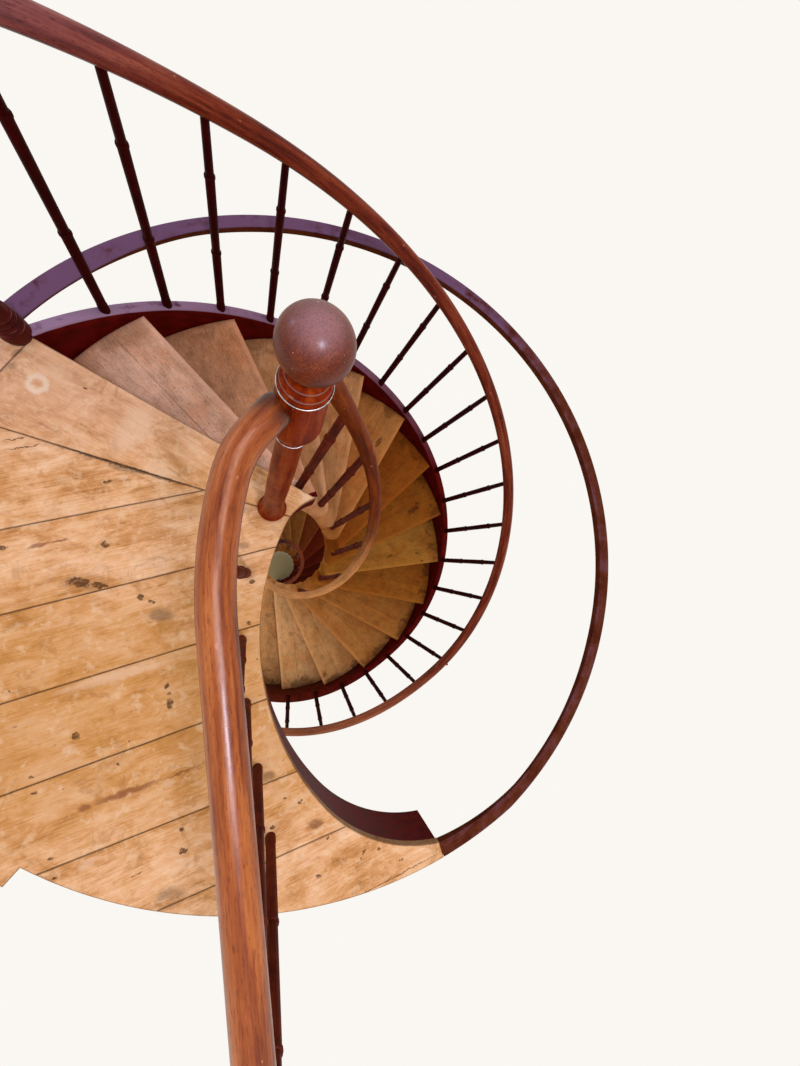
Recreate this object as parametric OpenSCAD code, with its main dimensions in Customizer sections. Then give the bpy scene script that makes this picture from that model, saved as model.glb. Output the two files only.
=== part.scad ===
// Wooden spiral staircase round an open well, with the landing at its head.
// Lengths are in millimetres and angles in degrees, measured about the stair's axis and growing uphill.
// The origin is the middle of the foot of the outer bottom newel, on the floor.

/* [Stair] */
// Number of risers from the floor to the landing
riser_count = 32; // [28:1:34]
// Height of one riser
rise = 182; // [170:1:190]
// Turn from one nosing to the next
step_angle = 18.14; // [17:0.02:19]
// Direction of the landing's nosing where it meets the outer string
landing_angle = 144.7; // [140:0.1:150]
// Distance by which every nosing line misses the axis
nosing_offset = 145; // [120:5:160]
// Radius of the open well, to the ends of the treads
well_radius = 188; // [180:2:196]

/* [Boards] */
// Thickness of the treads and of the landing's planks
board_thickness = 32; // [28:1:38]
// Thickness of the risers
riser_thickness = 20; // [16:1:24]
// How far a nosing stands out over its riser
nosing_overhang = 28; // [20:1:34]

/* [Strings] */
// Radius of the circle on which the outer balusters stand
string_radius = 1100; // [1080:5:1120]
// Thickness of the outer string
string_thickness = 40; // [36:1:44]
// Depth of the outer string, measured upright
string_depth = 300; // [290:5:330]
// Height of the outer string's top above the line of nosings
string_margin = 20; // [10:1:30]
// Thickness of the inner string
inner_string_thickness = 27; // [22:1:30]
// Depth of the inner string below the foot of each riser
inner_string_depth = 60; // [50:5:80]
// Extra radius of the lower flight's string and handrail
flare_reach = 25; // [0:5:30]
// Extra height of the lower flight's string and handrail
flare_lift = 100; // [0:10:120]
// Extra thickness of the lower flight's string
flare_thickness = 35; // [0:5:40]

/* [Handrails] */
// Thickness of the outer handrail
outer_rail_width = 54; // [48:1:58]
// Height of the outer handrail's middle above the line of nosings
outer_rail_height = 868; // [840:1:890]
// Extra height to which the outer handrail rises at the landing
outer_rail_rise = 40; // [0:5:50]
// Thickness of the inner handrail
inner_rail_width = 43; // [40:1:48]
// Height of the inner handrail's middle above the line of nosings
inner_rail_height = 1199; // [1150:1:1220]
// Radius of the inner handrail
inner_rail_radius = 235; // [225:1:245]
// Thickness of the landing's guard rail
guard_rail_width = 48; // [46:1:54]
// Height of the guard rail's middle above the landing
guard_rail_height = 980; // [900:5:1000]

/* [Balusters] */
// Turn from one outer baluster to the next
baluster_angle = 11.1; // [10.6:0.01:12]
// Angle by which the outer balusters lean downhill
baluster_lean = 3.05; // [0:0.05:4]
// Thickness of a baluster's shaft at the middle
baluster_width = 28; // [24:1:32]
// How far the rings on a baluster stand out from its shaft
baluster_ring = 2; // [1:0.5:4]

/* [Landing] */
// Radius of the landing's hidden outer edge, uphill of the wall's corner
landing_radius = 1290; // [1260:5:1310]
// Radius of the wall's curve along the rest of the landing's outer edge
wall_radius = 1428; // [1420:1:1436]
// Depth of the curved fascia below the landing's top
fascia_depth = 240; // [200:5:260]
// Thickness of the fascia
fascia_thickness = 20; // [16:1:24]
// Depth of the landing's joists
joist_depth = 150; // [120:5:160]
// Direction in which the landing's planks run
plank_angle = 16; // [10:1:20]
// Inner radius of the ledge round the stairwell
ledge_radius = 1203; // [1195:1:1210]
// Width of the ledge
ledge_width = 48; // [40:1:52]
// Thickness of the ledge
ledge_thickness = 30; // [20:1:36]

/* [Newels] */
// Diameter of the ball on the landing's newel
ball_width = 85; // [80:1:90]
// Height of the ball's middle above the landing
ball_height = 1114; // [1100:1:1140]
// Angle by which the ball newel leans towards the well
newel_lean = 1.8; // [0:0.1:2]
// Diameter of the foot of the newel at the head of the outer string
top_newel_width = 88; // [80:1:92]

/* [Hidden] */
landing_height = riser_count * rise;
inner_face = string_radius - string_thickness / 2;
outer_face = string_radius + string_thickness / 2;
nosing_turn = asin(nosing_offset / inner_face);
bottom_angle = landing_angle - (riser_count - 1) * step_angle;
inner_string_radius = well_radius + 17;
inner_string_outside = inner_string_radius + inner_string_thickness;
board_cover = nosing_overhang + riser_thickness;
foot_angle = bottom_angle - 4.5;
foot = (string_radius + flare_reach) * [cos(foot_angle), sin(foot_angle)];
flare_start = landing_angle - 186.7;
flare_turn = 55;
rail_rise_start = landing_angle - 40.7;
corner_radius = 20;
baluster_first = 133.3;
baluster_shift = [-1.1, -0.9, -0.3];
baluster_count = floor((baluster_first - bottom_angle) / baluster_angle) + 1;
inner_baluster_radius = 250;
inner_baluster_angle = 2 * step_angle;
inner_baluster_feet = [102.6, 72, 42, 7, -34];
inner_baluster_leans = [9.6, 3.5, 4.5, 0, -6];
inner_baluster_count = 5 + floor((inner_baluster_feet[4] - bottom_angle) / inner_baluster_angle);
half_turn_step = floor(riser_count / 2);
split_angle = nosing_angle(half_turn_step);
outer_rail_step = 5;
inner_rail_step = 7.5;
rail_sides = 16;
ledge_centre = [51, 9];
ledge_left_radius = 1183;
ledge_left_angles = [112, 136];
ledge_right_angle = -48;
ledge_step = 2.5;
top_newel_radius = 1120;
top_newel_angle = landing_angle + 1;
wall_centre = [44, 215];
wall_corner_angle = 229.2;
ball_newel_place = [-157, 123];
well_arc_centre = [64.5, -6.5];
well_arc_radius = 187.5;
well_arc_angles = [108, 156.7];
long_arc_radius = 920;
tip_angle = 222;
tip_arc_radius = 535;
tip_end_angle = 271.6;
long_arc_centre = well_arc_centre + (well_arc_radius - long_arc_radius) * direction(well_arc_angles[1]);
tip_arc_centre = long_arc_centre + (long_arc_radius - tip_arc_radius) * direction(tip_angle);
landing_tip = tip_arc_centre + tip_arc_radius * direction(tip_end_angle);
round = 48;
nosing_facets = 8;

TREADS = [for (i = [1:riser_count - 1]) str("tread_", i < 10 ? "0" : "", i)];

function direction(a) = [cos(a), sin(a)];
function nosing_angle(i) = landing_angle - (riser_count - i) * step_angle;
function pitch_height(a) = landing_height + (a - landing_angle) / step_angle * rise;
function steps(first, last, size) = [for (k = [0:ceil((last - first) / size)])
    first + (last - first) * k / ceil((last - first) / size)];
function arc(centre, radius, first, last, count) = [for (k = [0:count])
    centre + radius * direction(first + (last - first) * k / count)];
function reversed(list) = [for (k = [len(list) - 1:-1:0]) list[k]];
function smooth(t) = let (u = min(max(t, 0), 1)) u * u * (3 - 2 * u);
function flare(a) = smooth((flare_start - a) / flare_turn);
function inside_radius(a) = inner_face + flare_reach * flare(a);
function rail_rise(a) = outer_rail_rise * smooth((a - rail_rise_start) / (landing_angle - rail_rise_start));

// A closed tube through rings of points, each ring listed the same way round
module skin(rings) {
    sides = len(rings[0]);
    count = len(rings);
    points = [for (ring = rings) each ring];
    walls = [for (i = [0:count - 2]) for (j = [0:sides - 1])
        let (k = (j + 1) % sides) each [
            [i * sides + j, (i + 1) * sides + k, i * sides + k],
            [i * sides + j, (i + 1) * sides + j, (i + 1) * sides + k]]];
    ends = [[for (j = [0:sides - 1]) j], [for (j = [sides - 1:-1:0]) (count - 1) * sides + j]];
    polyhedron(points, concat(walls, ends), convexity = 10);
}

// A ring of points at one angle, from [radius, height] pairs
function upright_ring(a, profile) = [for (p = profile) [p[0] * cos(a), p[0] * sin(a), p[1]]];

// The round section of a handrail, square to a helix of the given slope
function rail_ring(a, radius, height, width, slope) = [for (k = [0:rail_sides - 1])
    let (t = 360 * k / rail_sides, across = width / 2 * cos(t), up = width / 2 * sin(t))
    [(radius + across) * cos(a) + up * sin(slope) * sin(a),
     (radius + across) * sin(a) - up * sin(slope) * cos(a),
     height + up * cos(slope)]];

module around_axis() {
    translate(-concat(foot, [0])) children();
}

module at_nosing(i) {
    rotate(nosing_angle(i) + nosing_turn) children();
}

// A board's section across its nosing: a half-round front edge and a square back
function nosed_section(depth) = let (r = board_thickness / 2) concat(
    [for (k = [0:nosing_facets]) let (t = 180 * k / nosing_facets)
        [r - nosing_offset - r * sin(t), r - r * cos(t)]],
    [[depth, board_thickness], [depth, 0]]);

// The tapered end of a tread over the well, cut off round
module sharp_corner() {
    tip = [sqrt(pow(well_radius, 2) - pow(nosing_offset, 2)), -nosing_offset];
    along = sqrt(pow(well_radius + corner_radius, 2) - pow(nosing_offset - corner_radius, 2));
    centre = [along, corner_radius - nosing_offset];
    difference() {
        polygon([tip - [5, 5], [along, -nosing_offset - 5], centre, 0.8 * centre]);
        translate(centre) circle(r = corner_radius, $fn = round);
    }
}

// The outline of tread i: its outer end follows the inside of the outer string
module tread_plan(i) {
    start = nosing_angle(i);
    turn = start + nosing_turn;
    difference() {
        intersection() {
            polygon(concat([[0, 0]],
                [for (a = steps(start - 3, start + 24, 3)) inside_radius(a) * direction(a - turn)]));
            translate([0, -nosing_offset - 1]) square([outer_face, outer_face]);
            rotate(step_angle) translate([0, board_cover - nosing_offset - outer_face])
                square([outer_face, outer_face]);
        }
        circle(r = well_radius, $fn = 2 * round);
        sharp_corner();
    }
}

module tread(i) {
    color("peru") around_axis() at_nosing(i) translate([0, 0, i * rise - board_thickness]) intersection() {
        linear_extrude(board_thickness) tread_plan(i);
        rotate([90, 0, 90]) linear_extrude(outer_face) polygon(nosed_section(outer_face));
    }
}

module riser_plan(i) {
    intersection() {
        difference() {
            circle(r = inside_radius(nosing_angle(i)), $fn = 4 * round);
            circle(r = inner_string_outside, $fn = 2 * round);
        }
        translate([0, nosing_overhang - nosing_offset]) square([outer_face, riser_thickness]);
    }
}

module risers() {
    color("saddlebrown") around_axis() for (i = [1:riser_count])
        at_nosing(i) translate([0, 0, (i - 1) * rise])
            linear_extrude(rise - board_thickness) riser_plan(i);
}

function outer_string_ring(a) =
    let (level = pitch_height(a) + string_margin, top = level + flare_lift * flare(a),
         bottom = max(level - string_depth, 0), inside = inside_radius(a) / cos(step_angle / 6),
         outside = outer_face + (flare_reach + flare_thickness) * flare(a))
    upright_ring(a, [[inside, bottom], [outside, bottom], [outside, top], [inside, top]]);

module outer_string(first, last) {
    color("maroon") around_axis()
        skin([for (a = steps(first, last, step_angle / 3)) outer_string_ring(a)]);
}

// The angle at which the inner string steps up, flush with the front of riser i
function inner_step_angle(i) = nosing_angle(i) + nosing_turn
    - asin((nosing_offset - nosing_overhang) / inner_string_outside);

function inner_string_ring(a, i, turned) =
    let (top = i * rise - board_thickness,
         bottom = max(top - rise - inner_string_depth + rise * turned, 0))
    upright_ring(a, [[inner_string_radius, bottom], [inner_string_outside, bottom],
                     [inner_string_outside, top], [inner_string_radius, top]]);

module inner_string(first, last) {
    gap = 0.02;
    color("maroon") around_axis() skin([for (i = [first:last]) for (t = [0, 1 / 3, 2 / 3, 1 - gap])
        inner_string_ring(inner_step_angle(i) + t * step_angle, i, t)]);
}

function outer_rail_middle(a) = pitch_height(a) + outer_rail_height + flare_lift * flare(a) + rail_rise(a);

function outer_rail_ring(a) =
    let (radius = string_radius + flare_reach * flare(a),
         slope = atan(rise / (step_angle * PI / 180 * radius)))
    rail_ring(a, radius, outer_rail_middle(a), outer_rail_width - 4 * flare(a), slope);

module outer_rail(first, last) {
    color("brown") around_axis() skin([for (a = steps(first, last, outer_rail_step)) outer_rail_ring(a)]);
}

// Near the ball newel the inner handrail draws in to the post
newel_pull = 54;
newel_drop = 70;
pull_start = 105;
pull_end = 131;

function inner_rail_ring(a) =
    let (pull = smooth((a - pull_start) / (pull_end - pull_start)),
         slope = atan(rise / (step_angle * PI / 180 * inner_rail_radius)))
    rail_ring(a, inner_rail_radius - newel_pull * pull,
              pitch_height(a) + inner_rail_height - newel_drop * pull, inner_rail_width, slope);

module inner_rail(first, last) {
    color("brown") around_axis() skin([for (a = steps(first, last, inner_rail_step)) inner_rail_ring(a)]);
}

// A bead on a turned shaft that is thicker below it than above it
function bead(level, below, above) = let (ring = below + baluster_ring)
    [[below, level - 6], [ring - 0.6, level - 4], [ring, level - 1.5],
     [ring, level + 1.5], [ring - 0.6, level + 4], [above, level + 6]];

// A turned baluster of the given length, standing on the origin, with beads at two parts of its length
module turned_baluster(length, lower_bead = 0.41, upper_bead = 0.78) {
    shaft = baluster_width / 2;
    foot_height = 34;
    taper = 1.5;
    rotate_extrude($fn = 24) polygon(concat(
        [[0, 0], [shaft + 2 * taper, 0], [shaft + 2 * taper, foot_height],
         [shaft + taper, foot_height + 6]],
        bead(lower_bead * length, shaft + taper, shaft),
        bead(upper_bead * length, shaft, shaft - taper),
        [[shaft - 2 * taper, length], [0, length]]));
}

// A baluster from one point to another
module baluster_between(low, high, lower_bead, upper_bead) {
    way = high - low;
    translate(low) rotate([0, acos(way[2] / norm(way)), atan2(way[1], way[0])])
        turned_baluster(norm(way), lower_bead, upper_bead);
}

function baluster_place(k) =
    baluster_first - k * baluster_angle + (k < len(baluster_shift) ? baluster_shift[k] : 0);

module outer_balusters(first, last) {
    setting = 3;
    color("maroon") around_axis() for (k = [first:last])
        let (a = baluster_place(k), low = pitch_height(a) + string_margin + flare_lift * flare(a) - setting)
        rotate(a) translate([string_radius + flare_reach * flare(a), 0, low]) rotate([baluster_lean, 0, 0])
            turned_baluster(outer_rail_middle(a) - outer_rail_width / 2 - low - 18);
}

function inner_baluster_foot(k) =
    k < 5 ? inner_baluster_feet[k] : inner_baluster_feet[4] - (k - 4) * inner_baluster_angle;

module inner_balusters() {
    color("maroon") around_axis() for (k = [0:inner_baluster_count - 1])
        let (a = inner_baluster_foot(k), top = a - (k < 5 ? inner_baluster_leans[k] : 0),
             tread_level = landing_height - (2 * k + 1) * rise,
             rail_level = pitch_height(top) + inner_rail_height - inner_rail_width / 2)
        baluster_between(concat(inner_baluster_radius * direction(a), [tread_level]),
                         concat(inner_rail_radius * direction(top), [rail_level]), 0.34, 0.78);
}

// A turned newel: plain foot, rings, tapering shaft and a round cap
module turned_newel(height, width) {
    foot_half = width / 2;
    rotate_extrude($fn = round) polygon([
        [0, 0], [foot_half, 0], [foot_half, 60], [0.8 * foot_half, 66], [foot_half, 76], [0.8 * foot_half, 86],
        [0.95 * foot_half, 96], [0.75 * foot_half, 106], [0.9 * foot_half, 116], [0.7 * foot_half, 126],
        [0.62 * foot_half, height - 150], [0.8 * foot_half, height - 140], [0.62 * foot_half, height - 128],
        [0.62 * foot_half, height - 40], [0.9 * foot_half, height - 26], [0.7 * foot_half, height], [0, height]]);
}

module bottom_newel() {
    color("maroon") turned_newel(outer_rail_height + flare_lift + rise, 92);
}

module inner_bottom_newel() {
    a = inner_step_angle(1) - 12;
    color("maroon") around_axis() translate(concat((inner_string_radius + 14) * direction(a), [0]))
        turned_newel(inner_rail_height + rise, 76);
}

// The newel at the head of the outer string, whose end is housed in its side
module top_newel() {
    drop = 260;
    housing = top_newel_radius * sin(top_newel_angle - landing_angle);
    color("maroon") around_axis() rotate(top_newel_angle)
        translate([top_newel_radius, 0, landing_height - drop]) difference() {
            union() {
                cylinder(d = top_newel_width, h = drop, $fn = round);
                translate([0, 0, drop]) turned_newel(outer_rail_height + 70, top_newel_width);
            }
            translate([-top_newel_width, -housing - top_newel_width, -string_depth])
                cube([top_newel_width, top_newel_width, drop + string_depth + string_margin]);
        }
}

module top_newel_plan() {
    translate(top_newel_radius * direction(top_newel_angle)) circle(d = top_newel_width, $fn = round);
}

module on_newel() {
    around_axis() translate(concat(ball_newel_place, [landing_height])) rotate([0, newel_lean, 0]) children();
}

// Turned: a foot, a long shaft, a ring, a pear-shaped block that takes the rails, and a collar of three rings
module ball_newel() {
    collar = ball_height - ball_width / 2;
    ring = 835;
    foot = [[0, 0], [49, 0], [49, 22], [44, 28], [35, 60]];
    shaft = [[30.5, 265], [31, 350], [29.4, 485], [28.3, 585], [26.4, 680], [24.5, 735], [24, ring - 8]];
    middle_ring = [[26.4, ring - 3], [26.4, ring + 3], [25, ring + 8]];
    block = [[33, ring + 28], [39, ring + 51], [41, ring + 62], [39, ring + 95], [36.5, ring + 142], [34, collar - 55]];
    rings = [[32, collar - 52], [34.5, collar - 50], [34.5, collar - 45], [31, collar - 41], [33, collar - 37],
             [33, collar - 32], [27, collar - 26], [28.6, collar - 22], [28.6, collar - 17], [24, collar - 12]];
    color("sienna") on_newel() rotate_extrude($fn = round)
        polygon(concat(foot, shaft, middle_ring, block, rings, [[23, collar - 5], [25, collar], [0, collar]]));
}

module ball_finial() {
    color("sienna") on_newel() translate([0, 0, ball_height]) difference() {
        sphere(d = ball_width, $fn = round);
        translate([-ball_width, -ball_width, -3 * ball_width / 2 + 1 - ball_width])
            cube([2 * ball_width, 2 * ball_width, 2 * ball_width]);
    }
}

// The landing's curved edge along the well, moved back from the well by the given distance
function well_edge(back) = concat(
    arc(well_arc_centre, well_arc_radius + back, well_arc_angles[0], well_arc_angles[1], 6),
    arc(long_arc_centre, long_arc_radius + back, well_arc_angles[1] + 2, tip_angle, 16),
    arc(tip_arc_centre, tip_arc_radius + back, tip_angle + 4, tip_end_angle, 12));

nosing_direction = landing_angle + nosing_turn;
function nosing_point(along, setback) = let (u = direction(nosing_direction), v = direction(nosing_direction + 90))
    along * u + (setback - nosing_offset) * v;

// The angle of a point about the wall's centre, from 0 to 360
function wall_angle(p) = (atan2(p[1] - wall_centre[1], p[0] - wall_centre[0]) + 360) % 360;

// The landing's outer edge, drawn in by the given distances from the wall and the nosing
function wall_line(inset, setback, first) =
    let (radius = landing_radius - inset, corner = wall_corner_angle - inset / radius * 180 / PI,
         toward = norm(wall_centre) * cos(corner - atan2(wall_centre[1], wall_centre[0])),
         reach = toward + sqrt(pow(toward, 2) - pow(norm(wall_centre), 2) + pow(wall_radius - inset, 2)),
         outer_corner = nosing_point(sqrt(pow(radius, 2) - pow(nosing_offset - setback, 2)), setback),
         start = atan2(outer_corner[1], outer_corner[0]))
    concat(arc(wall_centre, wall_radius - inset, first, wall_angle(reach * direction(corner)), 36),
           arc([0, 0], radius, corner, start, 30));

// The landing's outline, drawn in by the given distances from the wall, the nosing and the well
module landing_plan(inset = 0, setback = 0, back = 0) {
    polygon(concat([nosing_point(94, setback)], well_edge(back),
                   wall_line(inset, setback, wall_angle(landing_tip))));
}

module landing_floor() {
    color("burlywood") around_axis() translate([0, 0, landing_height - board_thickness])
        linear_extrude(board_thickness) difference() {
            landing_plan();
            top_newel_plan();
        }
}

module landing_fascia() {
    color("maroon") around_axis() translate([0, 0, landing_height - fascia_depth])
        linear_extrude(fascia_depth - board_thickness)
            polygon(concat(well_edge(lip), reversed(well_edge(lip + fascia_thickness))));
}

lip = 8;
trimmer_width = 60;
ledger_width = 40;
ledger_end = wall_angle(landing_tip) - 3;

module landing_joists() {
    fascia_back = lip + fascia_thickness;
    color("tan") around_axis() translate([0, 0, landing_height - board_thickness - joist_depth])
        linear_extrude(joist_depth) {
            intersection() {
                landing_plan(ledger_width, board_cover, fascia_back);
                rotate(nosing_direction) translate([inner_string_outside, board_cover - nosing_offset])
                    square([landing_radius, trimmer_width]);
            }
            intersection() {
                landing_plan(ledger_width, board_cover + trimmer_width, fascia_back);
                rotate(plank_angle) for (u = [-950, -650, -350])
                    translate([u - 30, -landing_radius]) square([60, 2 * landing_radius]);
            }
        }
}

module landing_ledger() {
    color("tan") around_axis() translate([0, 0, landing_height - board_thickness - joist_depth])
        linear_extrude(joist_depth)
            polygon(concat(wall_line(0, board_cover, ledger_end),
                           reversed(wall_line(ledger_width, board_cover, ledger_end))));
}

// The ledge's inner radius at an angle: it draws in towards the landing's tip and towards the top newel
function ledge_inside(a) =
    let (tip = pow(max(ledge_right_angle - a, 0) / (ledge_right_angle - ledge_first), 2),
         newel = smooth((a - ledge_left_angles[0]) / (ledge_left_angles[1] - ledge_left_angles[0])))
    ledge_radius - tip * (ledge_radius - norm(landing_tip - ledge_centre)) - newel * (ledge_radius - ledge_left_radius);

// Its outer radius, held inside the wall's curve
function ledge_outside(a) =
    let (offset = ledge_centre - wall_centre, toward = offset[0] * cos(a) + offset[1] * sin(a))
    min(ledge_radius + ledge_width, sqrt(pow(toward, 2) - pow(norm(offset), 2) + pow(wall_radius, 2)) - toward);

// The point of the landing's nosing line at a radius about the ledge's centre
function ledge_end(radius) =
    let (u = direction(nosing_direction), offset = nosing_point(0, 0) - ledge_centre, toward = offset * u)
    nosing_point(sqrt(pow(toward, 2) - pow(norm(offset), 2) + pow(radius, 2)) - toward, 0);

function ledge_angle(p) = atan2(p[1] - ledge_centre[1], p[0] - ledge_centre[0]);
ledge_first = ledge_angle(landing_tip);

module well_ledge() {
    wall_tip = wall_centre + wall_radius * direction(wall_angle(landing_tip));
    inside = steps(ledge_first, ledge_angle(ledge_end(ledge_left_radius)), ledge_step);
    outside = steps(ledge_angle(wall_tip), ledge_angle(ledge_end(ledge_radius + ledge_width)), ledge_step);
    color("maroon") around_axis() translate([0, 0, landing_height - ledge_thickness])
        linear_extrude(ledge_thickness) difference() {
            translate(ledge_centre) polygon(concat([for (a = inside) ledge_inside(a) * direction(a)],
                [for (a = reversed(outside)) ledge_outside(a) * direction(a)]));
            top_newel_plan();
        }
}

// The guard rail leaves the newel straight, bends twice and runs straight to the wall
guard_start = [-138.5, 128];
guard_headings = [231.87, 258.99, 276.77];
guard_bends = [151.7, 617.5];
guard_first_length = 68.3;
guard_reach = 1190;
guard_sides = 24;
guard_bend_step = 3;
guard_first_bend = guard_start + guard_first_length * direction(guard_headings[0]);
guard_first_centre = guard_first_bend - guard_bends[0] * direction(guard_headings[0] - 90);
guard_second_bend = guard_first_centre + guard_bends[0] * direction(guard_headings[1] - 90);
guard_second_centre = guard_second_bend - guard_bends[1] * direction(guard_headings[1] - 90);
guard_last_bend = guard_second_centre + guard_bends[1] * direction(guard_headings[2] - 90);
guard_feet = [[-235, -105], [-242, -329], [-221, -536], [-178, -747], [-130, -968]];

// The point of the guard rail's last length at the given distance along y
function guard_point(y) =
    [guard_last_bend[0] + (y - guard_last_bend[1]) * cos(guard_headings[2]) / sin(guard_headings[2]), y];

// A ring of the guard rail's section, square to its heading
function guard_ring(place, heading) = [for (k = [0:guard_sides - 1])
    let (t = 360 * k / guard_sides, across = guard_rail_width / 2 * cos(t))
    concat(place + across * direction(heading - 90), [guard_rail_width / 2 * sin(t)])];

// The rings round one of its bends, from one heading to the next
function guard_bend(centre, radius, first, last) =
    [for (h = steps(first, last, guard_bend_step)) guard_ring(centre + radius * direction(h - 90), h)];

module guard_rail() {
    second_bend = guard_bend(guard_second_centre, guard_bends[1], guard_headings[1], guard_headings[2]);
    color("chocolate") around_axis() translate([0, 0, landing_height + guard_rail_height])
        skin(concat([guard_ring(guard_start, guard_headings[0])],
                    guard_bend(guard_first_centre, guard_bends[0], guard_headings[0], guard_headings[1]),
                    [for (k = [1:len(second_bend) - 1]) second_bend[k]],
                    [guard_ring(guard_point(-guard_reach), guard_headings[2])]));
}

module guard_balusters() {
    top = landing_height + guard_rail_height - guard_rail_width / 2 + 3;
    color("maroon") around_axis() for (place = guard_feet)
        baluster_between(concat(place, [landing_height]), concat(guard_point(place[1]), [top]), 0.375, 0.685);
}

for (i = [1:riser_count - 1]) tread(i);
risers();
outer_string(bottom_angle - 2.4, split_angle);  // outer_string_lower
outer_string(split_angle, landing_angle);  // outer_string_upper
inner_string(1, half_turn_step);  // inner_string_lower
inner_string(half_turn_step + 1, riser_count - 1);  // inner_string_upper
outer_rail(foot_angle, split_angle);  // outer_rail_lower
outer_rail(split_angle, landing_angle);  // outer_rail_upper
inner_rail(inner_step_angle(1) - 12, split_angle);  // inner_rail_lower
inner_rail(split_angle, pull_end);  // inner_rail_upper
outer_balusters(floor(baluster_count / 2), baluster_count - 1);  // outer_balusters_lower
outer_balusters(0, floor(baluster_count / 2) - 1);  // outer_balusters_upper
inner_balusters();
bottom_newel();
inner_bottom_newel();
top_newel();
ball_newel();
ball_finial();
landing_floor();
landing_fascia();
landing_joists();
landing_ledger();
well_ledge();
guard_rail();
guard_balusters();
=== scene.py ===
import math

import bpy
import numpy as np
from mathutils import Matrix, Vector


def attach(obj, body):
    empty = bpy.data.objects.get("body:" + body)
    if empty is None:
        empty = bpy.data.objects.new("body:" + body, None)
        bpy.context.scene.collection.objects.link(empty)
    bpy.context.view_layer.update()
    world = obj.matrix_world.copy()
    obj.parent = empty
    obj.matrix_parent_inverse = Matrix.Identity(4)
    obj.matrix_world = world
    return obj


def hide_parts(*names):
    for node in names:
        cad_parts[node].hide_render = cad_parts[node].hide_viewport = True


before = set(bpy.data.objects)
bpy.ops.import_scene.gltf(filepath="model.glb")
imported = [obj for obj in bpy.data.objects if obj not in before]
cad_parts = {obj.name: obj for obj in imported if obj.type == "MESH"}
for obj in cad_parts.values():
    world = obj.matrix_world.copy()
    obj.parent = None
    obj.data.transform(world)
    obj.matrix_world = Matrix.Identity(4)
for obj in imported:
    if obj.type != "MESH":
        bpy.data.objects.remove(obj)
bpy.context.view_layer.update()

# Metres and degrees. Heights are above the floor; angles are about the stair's axis and grow uphill.
RISERS = 32
RISE = 0.182
STEP = 18.14
LANDING_ANGLE = 144.7
TOP = RISERS * RISE
NOSING_OFFSET = 0.145
WELL_RADIUS = 0.188
BOARD = 0.032
TREAD_CORNER = 0.045
TREAD_BACK = 0.048
TREAD_EDGE = 0.0155
HOLLOW_DEPTH = 0.004
HOLLOW_PLACE = 0.62
HOLLOW_LENGTH = 0.22
HOLLOW_WIDTH = 0.12
STRING_RADIUS = 1.1
STRING_THICKNESS = 0.04
STRING_MARGIN = 0.02
STRING_DEPTH = 0.3
INNER_STRING = (WELL_RADIUS + 0.017, WELL_RADIUS + 0.044)
INNER_STRING_FOOT = 0.06
FLARE_REACH = 0.025
FLARE_LIFT = 0.1
FLARE_THICKNESS = 0.035
OUTER_RAIL_WIDTH = 0.054
OUTER_RAIL_HEIGHT = 0.868
OUTER_RAIL_RISE = 0.04
NUB_ANGLE = -36.0
INNER_RAIL_WIDTH = 0.043
INNER_RAIL_HEIGHT = 1.199
INNER_RAIL_RADIUS = 0.235
INNER_RAIL_END = 131
DRAW_TURN = 26
DRAW_IN = 0.054
DRAW_DOWN = 0.07
GUARD_WIDTH = 0.048
GUARD_HEIGHT = 0.98
FIRST_BALUSTER = 133.3
BALUSTER_ANGLE = 11.1
BALUSTER_WIDTH = 0.028
BALUSTER_LEAN = 3.05
BEAD = 0.002
RAIL_SEAT = 0.018
FOOT_SINK = 0.003
BOTTOM_NEWEL_WIDTH = 0.092
INNER_NEWEL_WIDTH = 0.076
TOP_NEWEL_WIDTH = 0.088
BALL_WIDTH = 0.085
BALL_HEIGHT = 1.114
NEWEL_RING = 0.835
NEWEL_LEAN = 1.8
NEWEL_PLACE = (-0.157, 0.123)
WIRE_RADIUS = 0.0008
STRAND_SPREAD = 0.0016
TOP_NEWEL_RADIUS = 1.12
TOP_NEWEL_DROP = 0.26
LANDING_RADIUS = 1.29
WALL_RADIUS = 1.428
WALL_CORNER = 229.2
FASCIA_DEPTH = 0.24
FASCIA_THICKNESS = 0.02
LIP = 0.008
LEDGE_RADIUS = 1.203
LEDGE_WIDTH = 0.048
HALF_JOINT = 0.0004
EASED = 0.0015

INSIDE = 0.0004  # a round rail stays this far inside its solid
FLUSH = 0.0003  # and a broad face this far
GAP = 0.0005  # between the treads and the strings
POINT = 0.0002  # the radius that the end of a turned piece is drawn in to
CREASE = 35  # edges that turn by more degrees stay sharp
GRAIN_SHIFT = 3.7  # how much further a seed moves the grain across the wood than along it

INNER_FACE = STRING_RADIUS - STRING_THICKNESS / 2
OUTER_FACE = STRING_RADIUS + STRING_THICKNESS / 2
NOSING_TURN = math.degrees(math.asin(NOSING_OFFSET / INNER_FACE))
BOTTOM_ANGLE = LANDING_ANGLE - (RISERS - 1) * STEP
FOOT_ANGLE = BOTTOM_ANGLE - 4.5
FLARE_START = LANDING_ANGLE - 186.7
RAIL_RISE_START = LANDING_ANGLE - 40.7


def direction(angle):
    """The level unit vector at an angle in degrees; an array of angles gives an array of vectors."""
    t = np.radians(angle)
    return np.stack([np.cos(t), np.sin(t)], -1)


def smooth(t):
    """0 below 0, 1 above 1, and an S-shaped curve between."""
    u = np.clip(t, 0, 1)
    return u * u * (3 - 2 * u)


AXIS = -(STRING_RADIUS + FLARE_REACH) * direction(FOOT_ANGLE)
LANDING = (float(AXIS[0]), float(AXIS[1]), TOP)


def nosing_angle(i):
    return LANDING_ANGLE - (RISERS - i) * STEP


def pitch_height(a):
    """Height of the line of nosings at an angle."""
    return TOP + (a - LANDING_ANGLE) / STEP * RISE


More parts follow.
